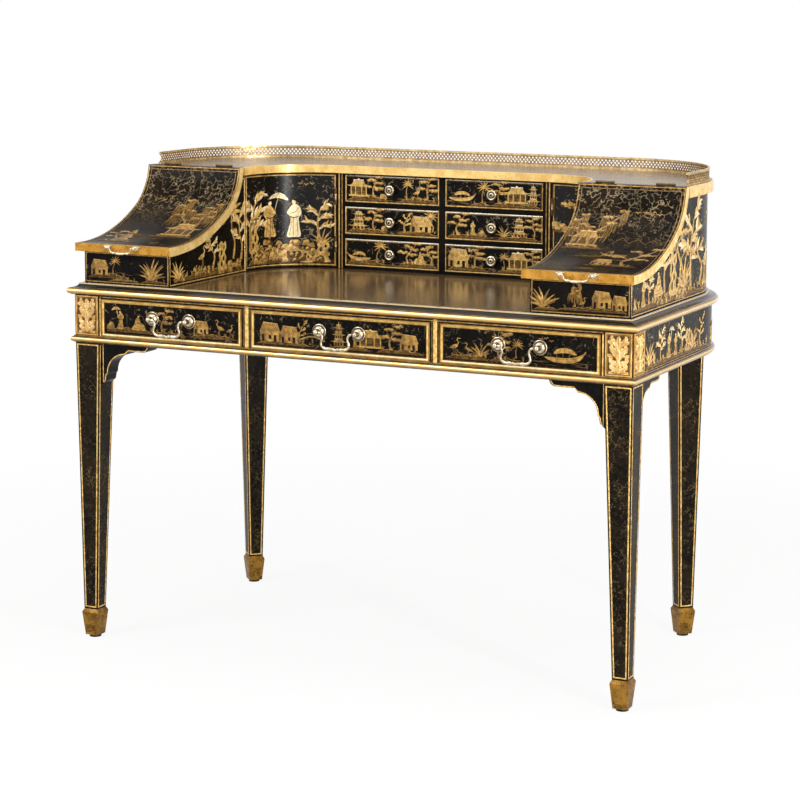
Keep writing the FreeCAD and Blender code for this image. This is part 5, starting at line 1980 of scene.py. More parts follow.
    def figure(
        self, posture: Posture, x: float, y: float, height: float, flip: float = 1, tone: Tone = Tone.GOLD
    ) -> None:
        """Draws a small robed figure, with no features in its face.

        Args:
            posture: What it does.
            x, y: Middle of its feet.
            height: Its height.
            flip: 1 if it faces right, -1 if it faces left.
            tone: Tone of the robe.
        """
        fit = self.fitted(x, y, height * flip, height)
        is_seated = posture is Posture.SEATED
        neck = 0.72 if is_seated else 0.8
        line = height * 0.012 + 0.25
        self.patch(fit(SEATED_ROBE if is_seated else ROBE), tone, 1.4)
        for fold in SEATED_FOLDS if is_seated else FOLDS:
            self.ribbon(fit(fold), (line, line * 1.4, line), Tone.BROWN, 2.6)
        self.ribbon(fit(pairs(-.1, neck - .3, .02, neck - .33, .11, neck - .3)), line * 2, Tone.INK, 2.6)
        self.patch(fit(oval(0.02, neck + 0.065, 0.05, 0.062)), Tone.PALE, 2.2)
        hair = pairs(-.05, .06, -.05, .13, 0, .16, .06, .12, 0, .1)
        self.patch(fit([(px, neck + py) for px, py in hair]), Tone.INK, 2.9)
        self.patch(fit(oval(-0.02, neck + 0.175, 0.03, 0.03)), Tone.BROWN, 3)
        if posture is not Posture.PARASOL:
            return
        top = (0.27, neck + 0.22)
        self.ribbon(fit([(0.14, neck - 0.24), top]), line, Tone.PALE, 2.2)
        sleeve = pairs(.02, neck - .12, .12, neck - .2, .15, neck - .16)
        self.ribbon(fit(sleeve), height * 0.05, Tone.GOLD, 1.8)
        fit = self.fitted(x + top[0] * height * flip, y + top[1] * height, height * flip, height)
        dome = pairs(-.27, -.05, -.14, .07, .02, .11, .17, .05, .28, -.09, .1, -.05, -.08, -.02)
        self.patch(fit(dome), Tone.PALE, 1.8)
        for share in (-0.19, -0.08, 0.04, 0.15):
            self.ribbon(fit([(0.01, 0.1), (share * 0.8, 0.02), (share, -0.04)]), line * 0.8, Tone.BROWN, 2.6)

    def roof(self, x: float, y: float, width: float, height: float) -> None:
        """Draws a swept roof with upturned eaves and rows of tiles.

        Args:
            x, y: Middle of its lower edge.
            width, height: Its size.
        """
        fit = self.fitted(x, y, width, height)
        outline = pairs(
            -.5, .1, -.56, .24, -.44, .16, -.28, .5, -.22, 1, .22, 1, .28, .5, .44, .16, .56, .24, .5, .1,
            .3, 0, -.3, 0,
        )
        self.patch(fit(outline), Tone.GOLD, 1.8, steps=2)
        for index in range(-3, 4):
            share = index / 7
            self.ribbon(fit([(share * 0.5, 0.92), (share * 0.86, 0.12)]), (0.35, 0.5), Tone.BROWN, 2.8, 1)
        self.ribbon(fit(pairs(-.25, 1, .25, 1)), height * 0.14 + 0.4, Tone.PALE, 2.8, 1)

    def building(self, kind: Roofed, x: float, y: float, width: float, height: float) -> None:
        """Draws a small building.

        Args:
            kind: Kind of building.
            x, y: Middle of its foot.
            width, height: Its size.
        """
        if kind is Roofed.PAGODA:
            step = height * 0.86 / 3
            for index in range(3):
                wide = width * (1 - 0.2 * index)
                low = y + step * index
                self._box(x, low, wide * 0.62, step * 0.62, Tone.OCHRE)
                for share in (-0.18, 0.0, 0.18):
                    self._box(x + share * wide, low + step * 0.08, wide * 0.09, step * 0.38, Tone.INK, 2.4)
                self.roof(x, low + step * 0.52, wide, step * 0.5)
            self.ribbon([(x, y + height * 0.84), (x, y + height)], (1.4, 0.5), Tone.PALE, 2.4, 1)
        elif kind is Roofed.PAVILION:
            self._box(x, y, width * 1.04, height * 0.1, Tone.GOLD, 1.4)
            for share in (-0.4, -0.16, 0.16, 0.4):
                self._box(x + share * width, y, width * 0.045, height * 0.62, Tone.GOLD, 2)
            for low in (0.16, 0.26):
                rail = [(x - width * 0.42, y + height * low), (x + width * 0.42, y + height * low)]
                self.ribbon(rail, 0.7, Tone.OCHRE, 2.1, 1)
            self._box(x, y + height * 0.08, width * 0.8, height * 0.52, Tone.BROWN, 0.8)
            self.roof(x, y + height * 0.54, width * 1.12, height * 0.36)
            self.dot(x, y + height * 0.94, height * 0.04 + 0.4, Tone.PALE)
        else:
            self._hut(x, y, width, height)

    def _hut(self, x: float, y: float, width: float, height: float) -> None:
        """Draws a thatched hut with its gable on the left.

        Args:
            x, y: Middle of its foot.
            width, height: Its size.
        """
        gable = width * 0.32
        left, right = x - width / 2, x - width / 2 + gable
        self._box(left + gable / 2, y, gable, height * 0.56, Tone.OCHRE)
        self._box((right + x + width / 2) / 2, y, width - gable, height * 0.5, Tone.GOLD)
        ridge = (left + gable / 2, y + height)
        face = [(left - 1, y + height * 0.5), ridge, (right + 1, y + height * 0.48)]
        self.patch(face, Tone.OCHRE, 1.8, steps=1)
        far, eave = (x + width * 0.4, y + height * 0.94), (x + width * 0.56, y + height * 0.44)
        self.patch([ridge, far, eave, (right, y + height * 0.46)], Tone.GOLD, 2, steps=1)
        for index in range(7):
            share = (index + 0.5) / 7
            straw = [
                (ridge[0] + (far[0] - ridge[0]) * share, y + height * 0.94),
                (right + (eave[0] - right) * share, y + height * 0.48),
            ]
            self.ribbon(straw, (0.3, 0.6), Tone.BROWN, 2.9, 1)
        self.ribbon([ridge, far], 1.0, Tone.PALE, 3, 1)
        for px, py, wide, tall in (
            (left + gable / 2, y, gable * 0.4, 0.34),
            (right + (width - gable) * 0.3, y + height * 0.12, width * 0.12, 0.2),
            (right + (width - gable) * 0.68, y, width * 0.14, 0.34),
        ):
            self._box(px, py, wide, height * tall, Tone.INK, 2.4)

    def _box(self, x: float, y: float, width: float, height: float, tone: Tone, level: float = 1.2) -> None:
        """Draws an upright box by the middle of its foot."""
        corners = pairs(-.5, 0, .5, 0, .5, 1, -.5, 1)
        self.patch(self.fitted(x, y, width, height)(corners), tone, level, steps=1)

    def bridge(self, x: float, y: float, width: float, height: float) -> None:
        """Draws an arched plank bridge on posts.

        Args:
            x, y: Middle of its foot.
            width: Its span.
            height: Its height.
        """
        shares = [index / 6 for index in range(7)]
        deck = [(x + width * (s - 0.5), y + height * (0.5 + 0.5 * math.sin(math.pi * s))) for s in shares]
        rail = [(px, py + height * 0.4) for px, py in deck]
        self.ribbon(deck, height * 0.14 + 0.5, Tone.GOLD)
        self.ribbon(rail, 0.7, Tone.GOLD)
        for post in zip(deck, rail):
            self.ribbon(post, 0.6, Tone.OCHRE, 1.8, 1)
        for px, py in deck[1:-1:2]:
            self.ribbon([(px, y - height * 0.1), (px, py)], 0.9, Tone.OCHRE, 1.6, 1)

    def boat(self, x: float, y: float, width: float, flip: float = 1, canopy: float = 1) -> None:
        """Draws a river boat with ripples under it.

        Args:
            x, y: Middle of its keel.
            width: Its length.
            flip: 1 if its high stern is on the right, -1 if it is on the left.
            canopy: 1 for a canopy, 0 for a boatman.
        """
        fit = self.fitted(x, y, width * flip, width)
        hull = pairs(-.5, .12, -.3, .02, .1, 0, .38, .08, .54, .3, .4, .2, .1, .12, -.3, .12)
        self.patch(fit(hull), Tone.GOLD, 1.4)
        self.ribbon(fit(pairs(-.46, .12, -.1, .08, .3, .12, .5, .27)), (0.4, 0.9, 0.4), Tone.BROWN, 2.4)
        if canopy:
            arch = pairs(-.26, .2, -.2, .31, 0, .35, .2, .31, .3, .2, .02, .24)
            self.patch(fit(arch), Tone.GOLD, 2)
            for px in (-0.2, -0.04, 0.12, 0.24):
                self.ribbon(fit([(px, 0.08), (px, 0.25)]), 0.7, Tone.OCHRE, 1.8, 1)
            for px in (-0.14, 0.0, 0.14):
                self.ribbon(fit([(px * 0.7, 0.33), (px, 0.23)]), 0.5, Tone.BROWN, 2.8, 1)
        else:
            self.figure(Posture.STANDING, x + width * 0.12 * flip, y + width * 0.1, width * 0.34, -flip)
            self.ribbon(fit(pairs(.2, .4, .38, .02, .44, -.08)), (0.6, 0.9), Tone.GOLD)
        self.water(x - width * 0.7, x + width * 0.7, y - width * 0.08, width * 0.1)

    def water(self, start: float, end: float, y: float, height: float, count: float = 5) -> None:
        """Draws broken ripples.

        Args:
            start, end: Ends of the water.
            y: Its lower edge.
            height: Its height.
            count: Number of ripples.
        """
        for index in range(int(count)):
            length = self.near((end - start) * 0.26, 0.4)
            sx = self.draw.uniform(start, end - length)
            sy = y + height * self.draw.uniform(0, 1)
            rise = ((0.0, 0.0), (0.33, 0.6), (0.66, -0.4), (1.0, 0.0))
            path = [(sx + length * share, sy + up) for share, up in rise]
            self.ribbon(path, (0.2, 0.8, 0.8, 0.2), Tone.OCHRE if index % 2 else Tone.BROWN, 0.8)

    def hills(self, start: float, end: float, y: float, height: float, count: float = 3) -> None:
        """Draws far hills as soft outlines.

        Args:
            start, end: Ends of the row.
            y: Its foot.
            height: Usual height of a hill.
            count: Number of hills.
        """
        span = (end - start) / count
        for index in range(int(count)):
            fit = self.fitted(start + span * index, y, span, self.near(height, 0.3))
            back = fit(pairs(0, 0, .3, .7, .52, 1, .8, .4, 1.1, 0))
            self.ribbon(back, (0.3, 1.0, 0.8, 0.3), Tone.OCHRE, 0.9)
            self.ribbon(fit(pairs(.36, .49, .58, .7, .86, .28)), (0.2, 0.8, 0.2), Tone.BROWN, 0.9)

    def crane(self, x: float, y: float, height: float, flip: float = 1) -> None:
        """Draws a wading crane.

        Args:
            x, y: Its feet.
            height: Its height.
            flip: 1 if it looks right, -1 if it looks left.
        """
        fit = self.fitted(x, y, height * flip, height)
        self.patch(fit(pairs(-.34, .36, -.2, .5, .04, .6, .16, .54, .1, .42, -.1, .34)), Tone.GOLD, 1.5)
        neck = fit(pairs(.1, .54, .2, .7, .1, .84, .18, .95))
        self.ribbon(neck, (0.1 * height, 0.05 * height, 0.05 * height), Tone.GOLD, 1.7)
        self.ribbon(fit(pairs(.17, .95, .36, .92)), (0.04 * height, 0.2), Tone.PALE)
        for foot in (-0.04, 0.06):
            leg = fit([(0.0, 0.38), (foot + 0.04, 0.18), (foot, 0.0)])
            self.ribbon(leg, 0.025 * height + 0.2, Tone.OCHRE, 1.3)
        for k in range(3):
            feather = [(0.02, 0.52 - 0.05 * k), (-0.14, 0.46 - 0.05 * k), (-0.3, 0.4 - 0.03 * k)]
            self.ribbon(fit(feather), 0.015 * height + 0.2, Tone.BROWN, 2.6)

    def flock(self, x: float, y: float, size: float, count: float = 3) -> None:
        """Draws birds in flight.

        Args:
            x, y: Their middle.
            size: Half a bird's span.
            count: Number of birds.
        """
        for index in range(int(count)):
            px = x + (index - (count - 1) / 2) * size * 2.2
            fit = self.fitted(px, y + self.draw.uniform(-0.8, 0.8) * size, size, size)
            wings = fit(pairs(-1, .4, -.4, .5, 0, 0, .4, .6, 1, .3))
            self.ribbon(wings, (0.2, size * 0.28, size * 0.2, size * 0.28, 0.2), Tone.GOLD, 1.6)


LID_VIEWS = {
    "left": """
        bank 112 214 108 10, pavilion 168 120 70 62, willow 146 150 118 -.18, willow 190 168 92 .12,
        bank 26 104 52 8, pagoda 66 58 40 84, pads 46 58 66 -.2, hills 24 120 214 14 3,
        water 22 206 92 24 9, water 110 208 44 20 4, flock 66 268 7 3""",
    "right": """
        bank 14 98 168 10, pavilion 50 180 62 58, willow 64 186 108 .34, willow 28 190 92 -.06,
        bank 96 196 84 9, pads 170 92 84 .4, hut 122 92 40 30, boat 132 140 56 -1 0,
        hills 112 210 196 14 3, water 20 208 120 40 10, water 20 150 50 26 4, flock 160 286 7 4""",
}
WING_VIEWS = {
    "left": """
        bank 10 108 12 8, hut 36 18 40 32, palm 70 18 34 .16, bank 60 130 7 4 OCHRE, spiky 162 12 44 11,
        bank 138 196 7 5, water 60 150 14 10 6""",
    "right": """
        spiky 26 12 42 9, bank 8 56 7 5, willow 92 16 44 .12, crane 108 12 24, bank 56 196 9 6,
        hut 146 17 38 32, hut 182 14 30 28, water 50 120 8 6 4""",
}
INNER_VIEW = """
    spiky 34 14 38 9, rubble 12 70 8 8, bank 60 300 8 14, rubble 92 170 14 12, crane 132 30 46,
    leaves 176 26 74 -.2, grotto 214 14 34 62, rubble 196 304 8 18, palm 262 34 118 -.06,
    leaves 294 30 104 -.06"""
OUTER_VIEW = """
    bank 10 420 8 14, tuft 24 14 26 6, standing 66 16 54, leaves 98 18 62 .2, rubble 116 330 8 16,
    seated 150 26 56 -1, leaves 186 28 124 .16, grotto 232 20 44 84, pads 268 30 150 -.12,
    spiky 300 26 60 9, leaves 338 26 156 .1, blossom 392 22 128 -.24, parasol 430 22 70,
    bank 400 760 8 12, pavilion 520 22 84 74, willow 580 20 120 .2, bridge 650 20 64 22,
    pagoda 724 20 46 100, flock 480 160 9 4"""
DOOR_VIEWS = {
    "left": """
        bank 12 216 8 26, rubble 14 120 12 20, rubble 96 214 10 18, rubble 40 180 36 15,
        grotto 30 34 30 76, leaves 20 40 118 .12, parasol 74 68 84, standing 134 66 88 -1 PALE,
        leaves 186 52 84 .05, spiky 196 48 34 7, grotto 196 10 34 44, grotto 160 8 26 30,
        tuft 112 14 20 6, flock 160 182 6 3""",
    "right": """
        bank 12 216 8 22, rubble 20 210 12 18, pads 58 30 150 .26, pavilion 150 36 74 66,
        seated 106 34 64, grotto 200 16 32 70, spiky 30 26 40 9, flock 170 160 7 3""",
}
DRAWER_VIEWS = {
    "left": """
        bank 6 116 6 8, parasol 40 13 40 -1, rock 16 12 18 14, seated 82 12 36, pads 140 12 44 .22,
        bank 112 196 5 8, hills 176 232 18 12 2, water 196 240 12 10 5, hut 232 15 34 26,
        bank 206 314 6 7, crane 276 13 34 -1, crane 300 13 26""",
    "middle": """
        bank 6 130 5 7, hut 36 11 44 38, hut 80 10 40 34, bridge 132 10 56 16, blossom 104 12 42 .2,
        bank 160 262 5 6, pagoda 192 12 34 48, pavilion 262 12 56 38, standing 228 12 26,
        pads 306 12 46 .24, bank 276 378 5 8, hut 346 14 38 30, water 120 180 5 8 5""",
    "right": """
        bank 6 96 5 8, crane 26 13 34, crane 54 12 26 -1, spiky 80 12 28 7, pads 118 12 46 .2,
        bank 98 170 5 7, palm 154 14 30 .1, boat 254 12 82, hills 172 214 20 10 2, flock 216 52 5 3,
        water 170 312 5 9 8""",
}
SMALL_VIEWS = {
    ("left", 1): """
        bank 7 100 6 8, boat 36 14 56 -1, palm 80 13 40 .2, bank 130 221 6 9, pads 154 13 44 .34,
        seated 184 13 32 -1, pads 208 13 38 -.2""",
    ("left", 2): """
        bank 7 100 6 8, pagoda 34 13 46 44, pads 70 13 44 .2, rock 96 12 16 11, bank 128 221 6 7,
        blossom 146 12 40 .2, hut 184 13 50 34, palm 212 13 40 -.1""",
    ("left", 3): """
        bank 7 106 6 9, pavilion 34 14 46 40, pads 70 13 44 .16, rock 94 12 18 11, bank 134 221 6 8,
        palm 150 13 36 .1, crane 176 13 30, pads 200 13 44 .08""",
    ("right", 1): """
        bank 7 102 6 8, hut 32 13 46 40, pads 72 13 44 .16, bank 124 221 6 8, palm 140 12 30 0,
        pavilion 172 13 50 40, pads 206 13 42 .02""",
    ("right", 2): """
        bank 7 104 6 8, pads 30 12 45 .3, standing 66 13 32, rock 88 12 20 12, bank 124 221 6 8,
        spiky 138 12 26 7, pagoda 174 13 42 45, pads 208 12 42 -.04""",
    ("right", 3): """
        bank 60 106 6 6, boat 40 14 62, palm 88 12 38 .1, pads 126 14 44 .2, bank 112 221 6 9,
        pavilion 168 14 50 38, pagoda 206 13 30 44""",
}
FRIEZE_VIEW = """
    bank 8 380 6 9, spiky 28 12 44 7, tuft 56 12 26 5, leaves 92 12 60 .12, parasol 140 13 52,
    standing 178 13 46 -1, leaves 214 12 62 -.1, grotto 250 12 30 44, spiky 280 14 40 9,
    blossom 326 12 62 .2, bank 390 750 6 8, pavilion 430 13 56 42, willow 500 12 58 .14,
    bridge 560 12 56 16, hut 622 12 46 36, pads 690 12 60 -.2"""
BACK_VIEW = """
    bank 12 300 8 16, pavilion 90 26 110 84, willow 30 22 150 .14, pads 170 24 140 .24,
    standing 236 24 66, bridge 320 18 86 28, boat 430 40 90, hills 360 560 104 26 4,
    bank 520 708 8 14, pagoda 580 24 62 130, blossom 660 22 140 -.26, grotto 624 20 36 64,
    flock 400 168 10 5, water 300 540 20 60 16"""
BACK_FRIEZE_VIEW = """
    bank 12 240 6 8, hut 60 13 60 44, pads 130 13 58 .2, pavilion 200 13 50 42, boat 330 18 80,
    water 260 480 10 20 10, bank 450 706 6 8, willow 490 12 58 .12, parasol 540 13 44,
    hut 600 13 54 42, spiky 670 12 42 9"""


@dataclass
class PictureCycle:
    """The raised pictures of the desk, each on its own panel.

    Attributes:
        turn: Distance from the middle and depth at which the walls turn round the rear corners.
        frieze: Distance of the frieze's sides from the middle, and depth at which they start.
        bend: Centre of a door's curve: distance from the desk's middle, and depth.
        door: Width, height and height of the foot of a door's face, and its radius.
        rows: Heights of the small drawers' lower edges.
    """

    shop: Workshop
    front: float = -332.2
    wing_front: float = -314.2
    wing_inner: float = 402.0
    wing_outer: float = 607.0
    wing_reach: float = 313.5
    top: float = 760.0
    wall_top: float = 206.0
    turn: Point = (360.0, 81.8)
    frieze: Point = (620.0, -274.2)
    frieze_bottom: float = 650.8
    frieze_height: float = 86.2
    bend: Point = (256.0, 0.8)
    door: Color = (229.0, 205.0, 763.0, 146.0)
    rows: Spot = (766.1, 836.5, 906.9)

    def build(self) -> None:
        """Builds every picture."""
        for sign, side in SIDES:
            self._wing(sign, side)
            self._door(sign, side)
            self._small_drawers(sign, side)
        self._frieze_drawers()
        self._backs()

    def _picture(self, place: str, art: Picture, text: str, *lines: tuple, body: str = "desk") -> None:
        """Draws a view with its borders and lays it on its face.

        Args:
            place: Name of the face.
            art: The empty picture.
            text: Motifs of the view.
            lines: Inset, width and tone of each line round it.
            body: Body that it rides on.
        """
        for line in lines:
            art.border(*line)
        art.view(text)
        art.piece(f"{place}_picture", body, self.shop)

    def _headroom(self, u: float) -> float:
        """Returns the free height of a wing's wall at a distance from its front."""
        return min(under_lid(self.wing_front + u) - self.top, self.wall_top)

    def _wall(
        self, height: float, sign: int, half: float, front: float, bottom: float, **more: Callable
    ) -> WallGround:
        """Returns an outer wall that ends at the back, round its rear corner."""
        reach = self.turn[1] - front + (half - self.turn[0]) * math.pi / 2
        return WallGround(reach, height, sign, half, front, bottom, self.turn, bends=0, **more)

    def _wing(self, sign: int, side: str) -> None:
        """Draws the lakeside on a lid and the gardens on the front and the sides of the wing under it.

        Args:
            sign: -1 for the left of the desk, 1 for its right.
            side: Name of that side.
        """
        lid = LidGround(229.0, 347.6, -619.0 if sign < 0 else 390.0, bends=1, bend_step=6.0)
        self._picture(
            f"{side}_lid", Picture(lid, 11 + sign, DIM_TONES), LID_VIEWS[side],
            (2.4, 2.4, Tone.GOLD), (9.0, 1.5, Tone.OCHRE), body=f"{side}_lid",
        )
        corner = Vector((-self.wing_outer if sign < 0 else self.wing_inner, self.wing_front, self.top))
        face = FlatGround(self.wing_outer - self.wing_inner, 66.4, corner)
        art = Picture(face, 21 + sign, DIM_TONES)
        self._picture(f"{side}_wing_front", art, WING_VIEWS[side], (3.2, 2.6, Tone.GOLD))
        corner = Vector((sign * self.wing_inner, self.wing_front, self.top))
        face = FlatGround(self.wing_reach, self.wall_top, corner, BACK, side=-sign, limit=self._headroom)
        self._picture(f"{side}_wing_inner", Picture(face, 31 + sign), INNER_VIEW, (3.4, 2.4, Tone.GOLD))
        wall = self._wall(
            self.wall_top, sign, self.wing_outer, self.wing_front, self.top, limit=self._headroom
        )
        self._picture(f"{side}_wing_outer", Picture(wall, 41 + sign), OUTER_VIEW, (3.4, 2.2, Tone.GOLD))
        wall = self._wall(self.frieze_height, sign, *self.frieze, self.frieze_bottom)
        self._picture(f"{side}_frieze", Picture(wall, 91 + sign), FRIEZE_VIEW, (2.4, 1.6, Tone.OCHRE))

    def _door(self, sign: int, side: str) -> None:
        """Draws strollers among rocks and plants on a hollow door.

        Args:
            sign: -1 for the left of the desk, 1 for its right.
            side: Name of that side.
        """
        width, height, foot, radius = self.door
        centre = Vector((sign * self.bend[0], self.bend[1], foot))
        face = RoundGround(width, height, centre, radius, 135.0 - 45.0 * sign, bends=0, bend_step=6.0)
        lines = ((3.6, 2.6, Tone.GOLD), (0.9, 1.2, Tone.BROWN))
        place = f"{side}_door"
        self._picture(place, Picture(face, 51 + sign), DOOR_VIEWS[side], *lines, body=place)

    def _small_drawers(self, sign: int, side: str) -> None:
        """Draws a small scene on each side of every knob, under a wide near-white line that is a painted
        highlight along the top edge.

        Args:
            sign: -1 for the left of the desk, 1 for its right.
            side: Name of that side.
        """
        for row, bottom in enumerate(self.rows, 1):
            corner = Vector((-235.3 if sign < 0 else 6.7, 146.8, bottom))
            art = Picture(FlatGround(228.6, 61.0, corner), 70 + 4 * sign + row, BRIGHT_TONES)
            # The wide top line is a painted highlight; the side and bottom lines are gold.
            art.frame(2.2, (4.2, Tone.PALE, 3.0), (2.4, Tone.GOLD, 3.2), (2.8, Tone.GOLD, 3.2), crown=0.12)
            place = f"{side}_small_drawer_{row}"
            text = SMALL_VIEWS[side, row] + ", water 70 160 6 8 6"
            self._picture(place, art, text, (5.0, 0.9, Tone.BROWN), body=place)

    def _frieze_drawers(self) -> None:
        """Draws a long river view on each frieze drawer, inside a moulding with gilt edges whose top line is
        painted darker as shade and whose bottom line is painted pale as a highlight.
        """
        bead = 6.0
        places = (("left", -548.5, 321.0), ("middle", -192.5, 385.0), ("right", 227.5, 321.0))
        for side, start, width in places:
            place = f"{side}_drawer"
            face = FlatGround(width, 65.5, Vector((start, self.front, 657.75)))
            art = Picture(face, 60 + len(side), DIM_TONES)
            self._picture(place, art, DRAWER_VIEWS[side], (1.2, 1.3, Tone.BROWN), body=place)
            corner = Vector((start - bead, self.front - 2.5, 657.75 - bead))
            lines = Sheet(FlatGround(width + 2 * bead, 65.5 + 2 * bead, corner))
            lines.border(0.9, 1.3, Tone.BROWN, 0.2)
            # Painted light: darker top line for shade under the top, pale bottom line as a highlight.
            lines.frame(4.2, (1.8, Tone.OCHRE, 1.0), (2.6, Tone.GOLD, 1.2), (3.0, Tone.PALE, 1.5))
            lines.piece(f"{place}_bead_lines", place, self.shop)

    def _backs(self) -> None:
        """Draws a quiet river view on the upper back and the frieze's back."""
        half = self.turn[0]
        face = FlatGround(2 * half, self.wall_top, Vector((half, 328.8, self.top)), -RIGHT)
        self._picture("upper_back", Picture(face, 101), BACK_VIEW, (3.4, 2.2, Tone.GOLD))
        face = FlatGround(2 * half, self.frieze_height, Vector((half, 341.8, self.frieze_bottom)), -RIGHT)
        self._picture("back_frieze", Picture(face, 102), BACK_FRIEZE_VIEW, (2.4, 1.6, Tone.OCHRE))


@dataclass
class GiltLines:
    """Gilt lines and strips on legs, brackets, framing, case and desk top.

    Attributes:
        inset: Distance of its middle from the edge.
        ends: Distance of the cross lines from the ends of the taper.
        bracket: Points along the shaped edge of a bracket, from the leg's head.
        strips: Offset, width, tone and layer of each strip beside the small drawers.
    """

    shop: Workshop
    line: float = 2.8
    inset: float = 4.0
    ends: float = 5.0
    head: float = 636.0
    foot: float = 62.0
    wide: float = 58.0
    narrow: float = 32.4
    bracket: tuple[Point, ...] = (
        (3.4, -1.0), (3.4, -82.6), (7.4, -79.0), (10.0, -66.6), (13.2, -63.0), (15.6, -49.0),
        (25.9, -32.9), (41.0, -23.2), (55.0, -20.2), (57.6, -18.8), (63.6, -12.9), (66.0, -12.2),
        (100.0, -12.2), (107.6, -9.4), (112.0, -3.0),
    )
    strips: tuple[tuple[float, float, Tone, float], ...] = (
        (242.4, 2.6, Tone.OCHRE, 2.0), (249.6, 3.2, Tone.GOLD, 2.6)
    )

    def build(self) -> None:
        """Builds every set of lines."""
        for sign, side in SIDES:
            self._leg(f"front_{side}_leg_lines", (sign * 591.0, -303.2), (sign * 599.0, -306.2), 0.0)
            self._leg(f"rear_{side}_leg_lines", (sign * 523.3, 245.1), (sign * 526.9, 248.7), 45.0)
        self._brackets()
        self._framing()
        self._case()
        self._top()

    def _join(self, name: str, *sheets: Sheet) -> None:
        """Lays several sheets and makes one object of them.

        Args:
            name: Name of the object.
            sheets: The sheets.
        """
        work = Shape()
        for sheet in sheets:
            start = len(work.points)
            work.points += [sheet.ground.point(*point) for point in sheet.points]
            work.faces += [tuple(start + k for k in ring) for ring in sheet.faces]
            work.slots += sheet.tones
        # Pale lines here take the near-white gilding of the painted highlights.
        tones = [self.shop.material(BRIGHT_TONES[tone]) for tone in Tone]
        work.piece(name, "desk", "gilt_wood", tones, is_smooth=False)

    def _leg(self, name: str, head: Point, foot: Point, turn: float) -> None:
        """Lines the four faces of a leg.

        Args:
            name: Name of the piece.
            head: Middle of the leg where it starts to taper.
            foot: Middle where the taper ends.
            turn: Turn of the leg in degrees.
        """
        sheets = []
        tall = self.head - self.foot
        ends = (self.ends, tall - self.ends)
        for quarter in range(4):
            angle = math.radians(turn + 90 * quarter)
            out = Vector((math.cos(angle), math.sin(angle), 0))
            across = Vector((-out.y, out.x, 0))
            low = Vector((*foot, self.foot)) + out * self.narrow / 2
            high = Vector((*head, self.head)) + out * self.wide / 2
            ground = TaperGround(self.wide, tall, low, high, across, out, self.narrow)
            sheet = Sheet(ground)
            for way in (-1, 1):
                path = [(way * (ground.half(v) - self.inset), v) for v in ends]
                sheet.ribbon(path, self.line, Tone.GOLD, 0.4, 1)
            for v in ends:
                half = ground.half(v) - self.inset + self.line / 2
                sheet.ribbon([(-half, v), (half, v)], self.line, Tone.GOLD, 0.5, 1)
            sheets.append(sheet)
        self._join(name, *sheets)

    def _brackets(self) -> None:
        """Lines the shaped edge of the brackets."""
        sheets = []
        for sign, _ in SIDES:
            for corner, away, out in (
                (Vector((sign * 562.0, -324.2, self.head)), Vector((-sign, 0, 0)), OUTWARDS),
                (Vector((sign * 612.0, -274.2, self.head)), BACK, Vector((sign, 0, 0))),
            ):
                sheet = Sheet(TaperGround(1.0, 1.0, corner, corner + UP, away, out, 1.0))
                sheet.ribbon(self.bracket[:2], 2.2, Tone.GOLD, 0.4, 1)
                sheet.ribbon(self.bracket[1:], 2.4, Tone.GOLD, 0.5, 3)
                sheets.append(sheet)
        self._join("bracket_lines", *sheets)

    def _framing(self) -> None:
        """Adds the gilt strips between the frieze drawers and under the top."""
        low, high = 651.2, 730.0
        sheet = Sheet(FlatGround(1.0, 1.0, Vector((0.0, -332.2, 0.0))))
        for sign, _ in SIDES:
            middle = sign * 210.0
            sheet.ribbon([(middle, low), (middle, 736.0)], 9.0, Tone.GOLD, 3.2, 1)
            for x in (middle - 7.2, middle + 7.2):
                sheet.ribbon([(x, low), (x, high)], 2.6, Tone.BROWN, 1.4, 1)
            sheet.ribbon([(sign * 559.0, low), (sign * 559.0, high)], 3.4, Tone.GOLD, 1.6, 1)
        sheet.ribbon([(-560.0, 733.4), (560.0, 733.4)], 2.6, Tone.OCHRE, 1.0, 1)
        self._join("framing_strips", sheet)

    def _case(self) -> None:
        """Adds the reeded gilt strips beside the small drawers and along the wings' rear edges."""
        case = Sheet(FlatGround(1.0, 1.0, Vector((0.0, 146.8, 0.0))))
        sheets = [case]
        for sign, _ in SIDES:
            for offset, *strip in self.strips:
                case.ribbon([(sign * offset, 761.0), (sign * offset, 969.0)], *strip, 1)
            wing = Sheet(FlatGround(1.0, 1.0, Vector((sign * 402.0, -0.7, 0.0)), Vector((0, -sign, 0))))
            wing.ribbon([(sign * 1.6, 761.0), (sign * 1.6, 968.0)], 2.0, Tone.PALE, 3.0, 1)
            sheets.append(wing)
        self._join("case_strips", *sheets)

    def _top(self) -> None:
        """Runs a near-white line round the upper edge of the desk top, a painted highlight along its crown.
        """
        inset = 8.0
        half, front, radius = 620.0 - inset, -332.2 + inset, 260.0 - inset
        ring = [(0.0, front), (half, front)]
        for index in range(25):
            angle = math.radians(90 * index / 24)
            ring.append((360.0 + radius * math.cos(angle), 81.8 + radius * math.sin(angle)))
        ring += [(-x, y) for x, y in ring[:0:-1]]
        sheet = Sheet(FlatGround(1.0, 1.0, Vector((0, 0, 760.0)), up=BACK))
        sheet.ribbon(ring, 1.8, Tone.PALE, 0.6, 1, True)
        self._join("top_edge_line", sheet)


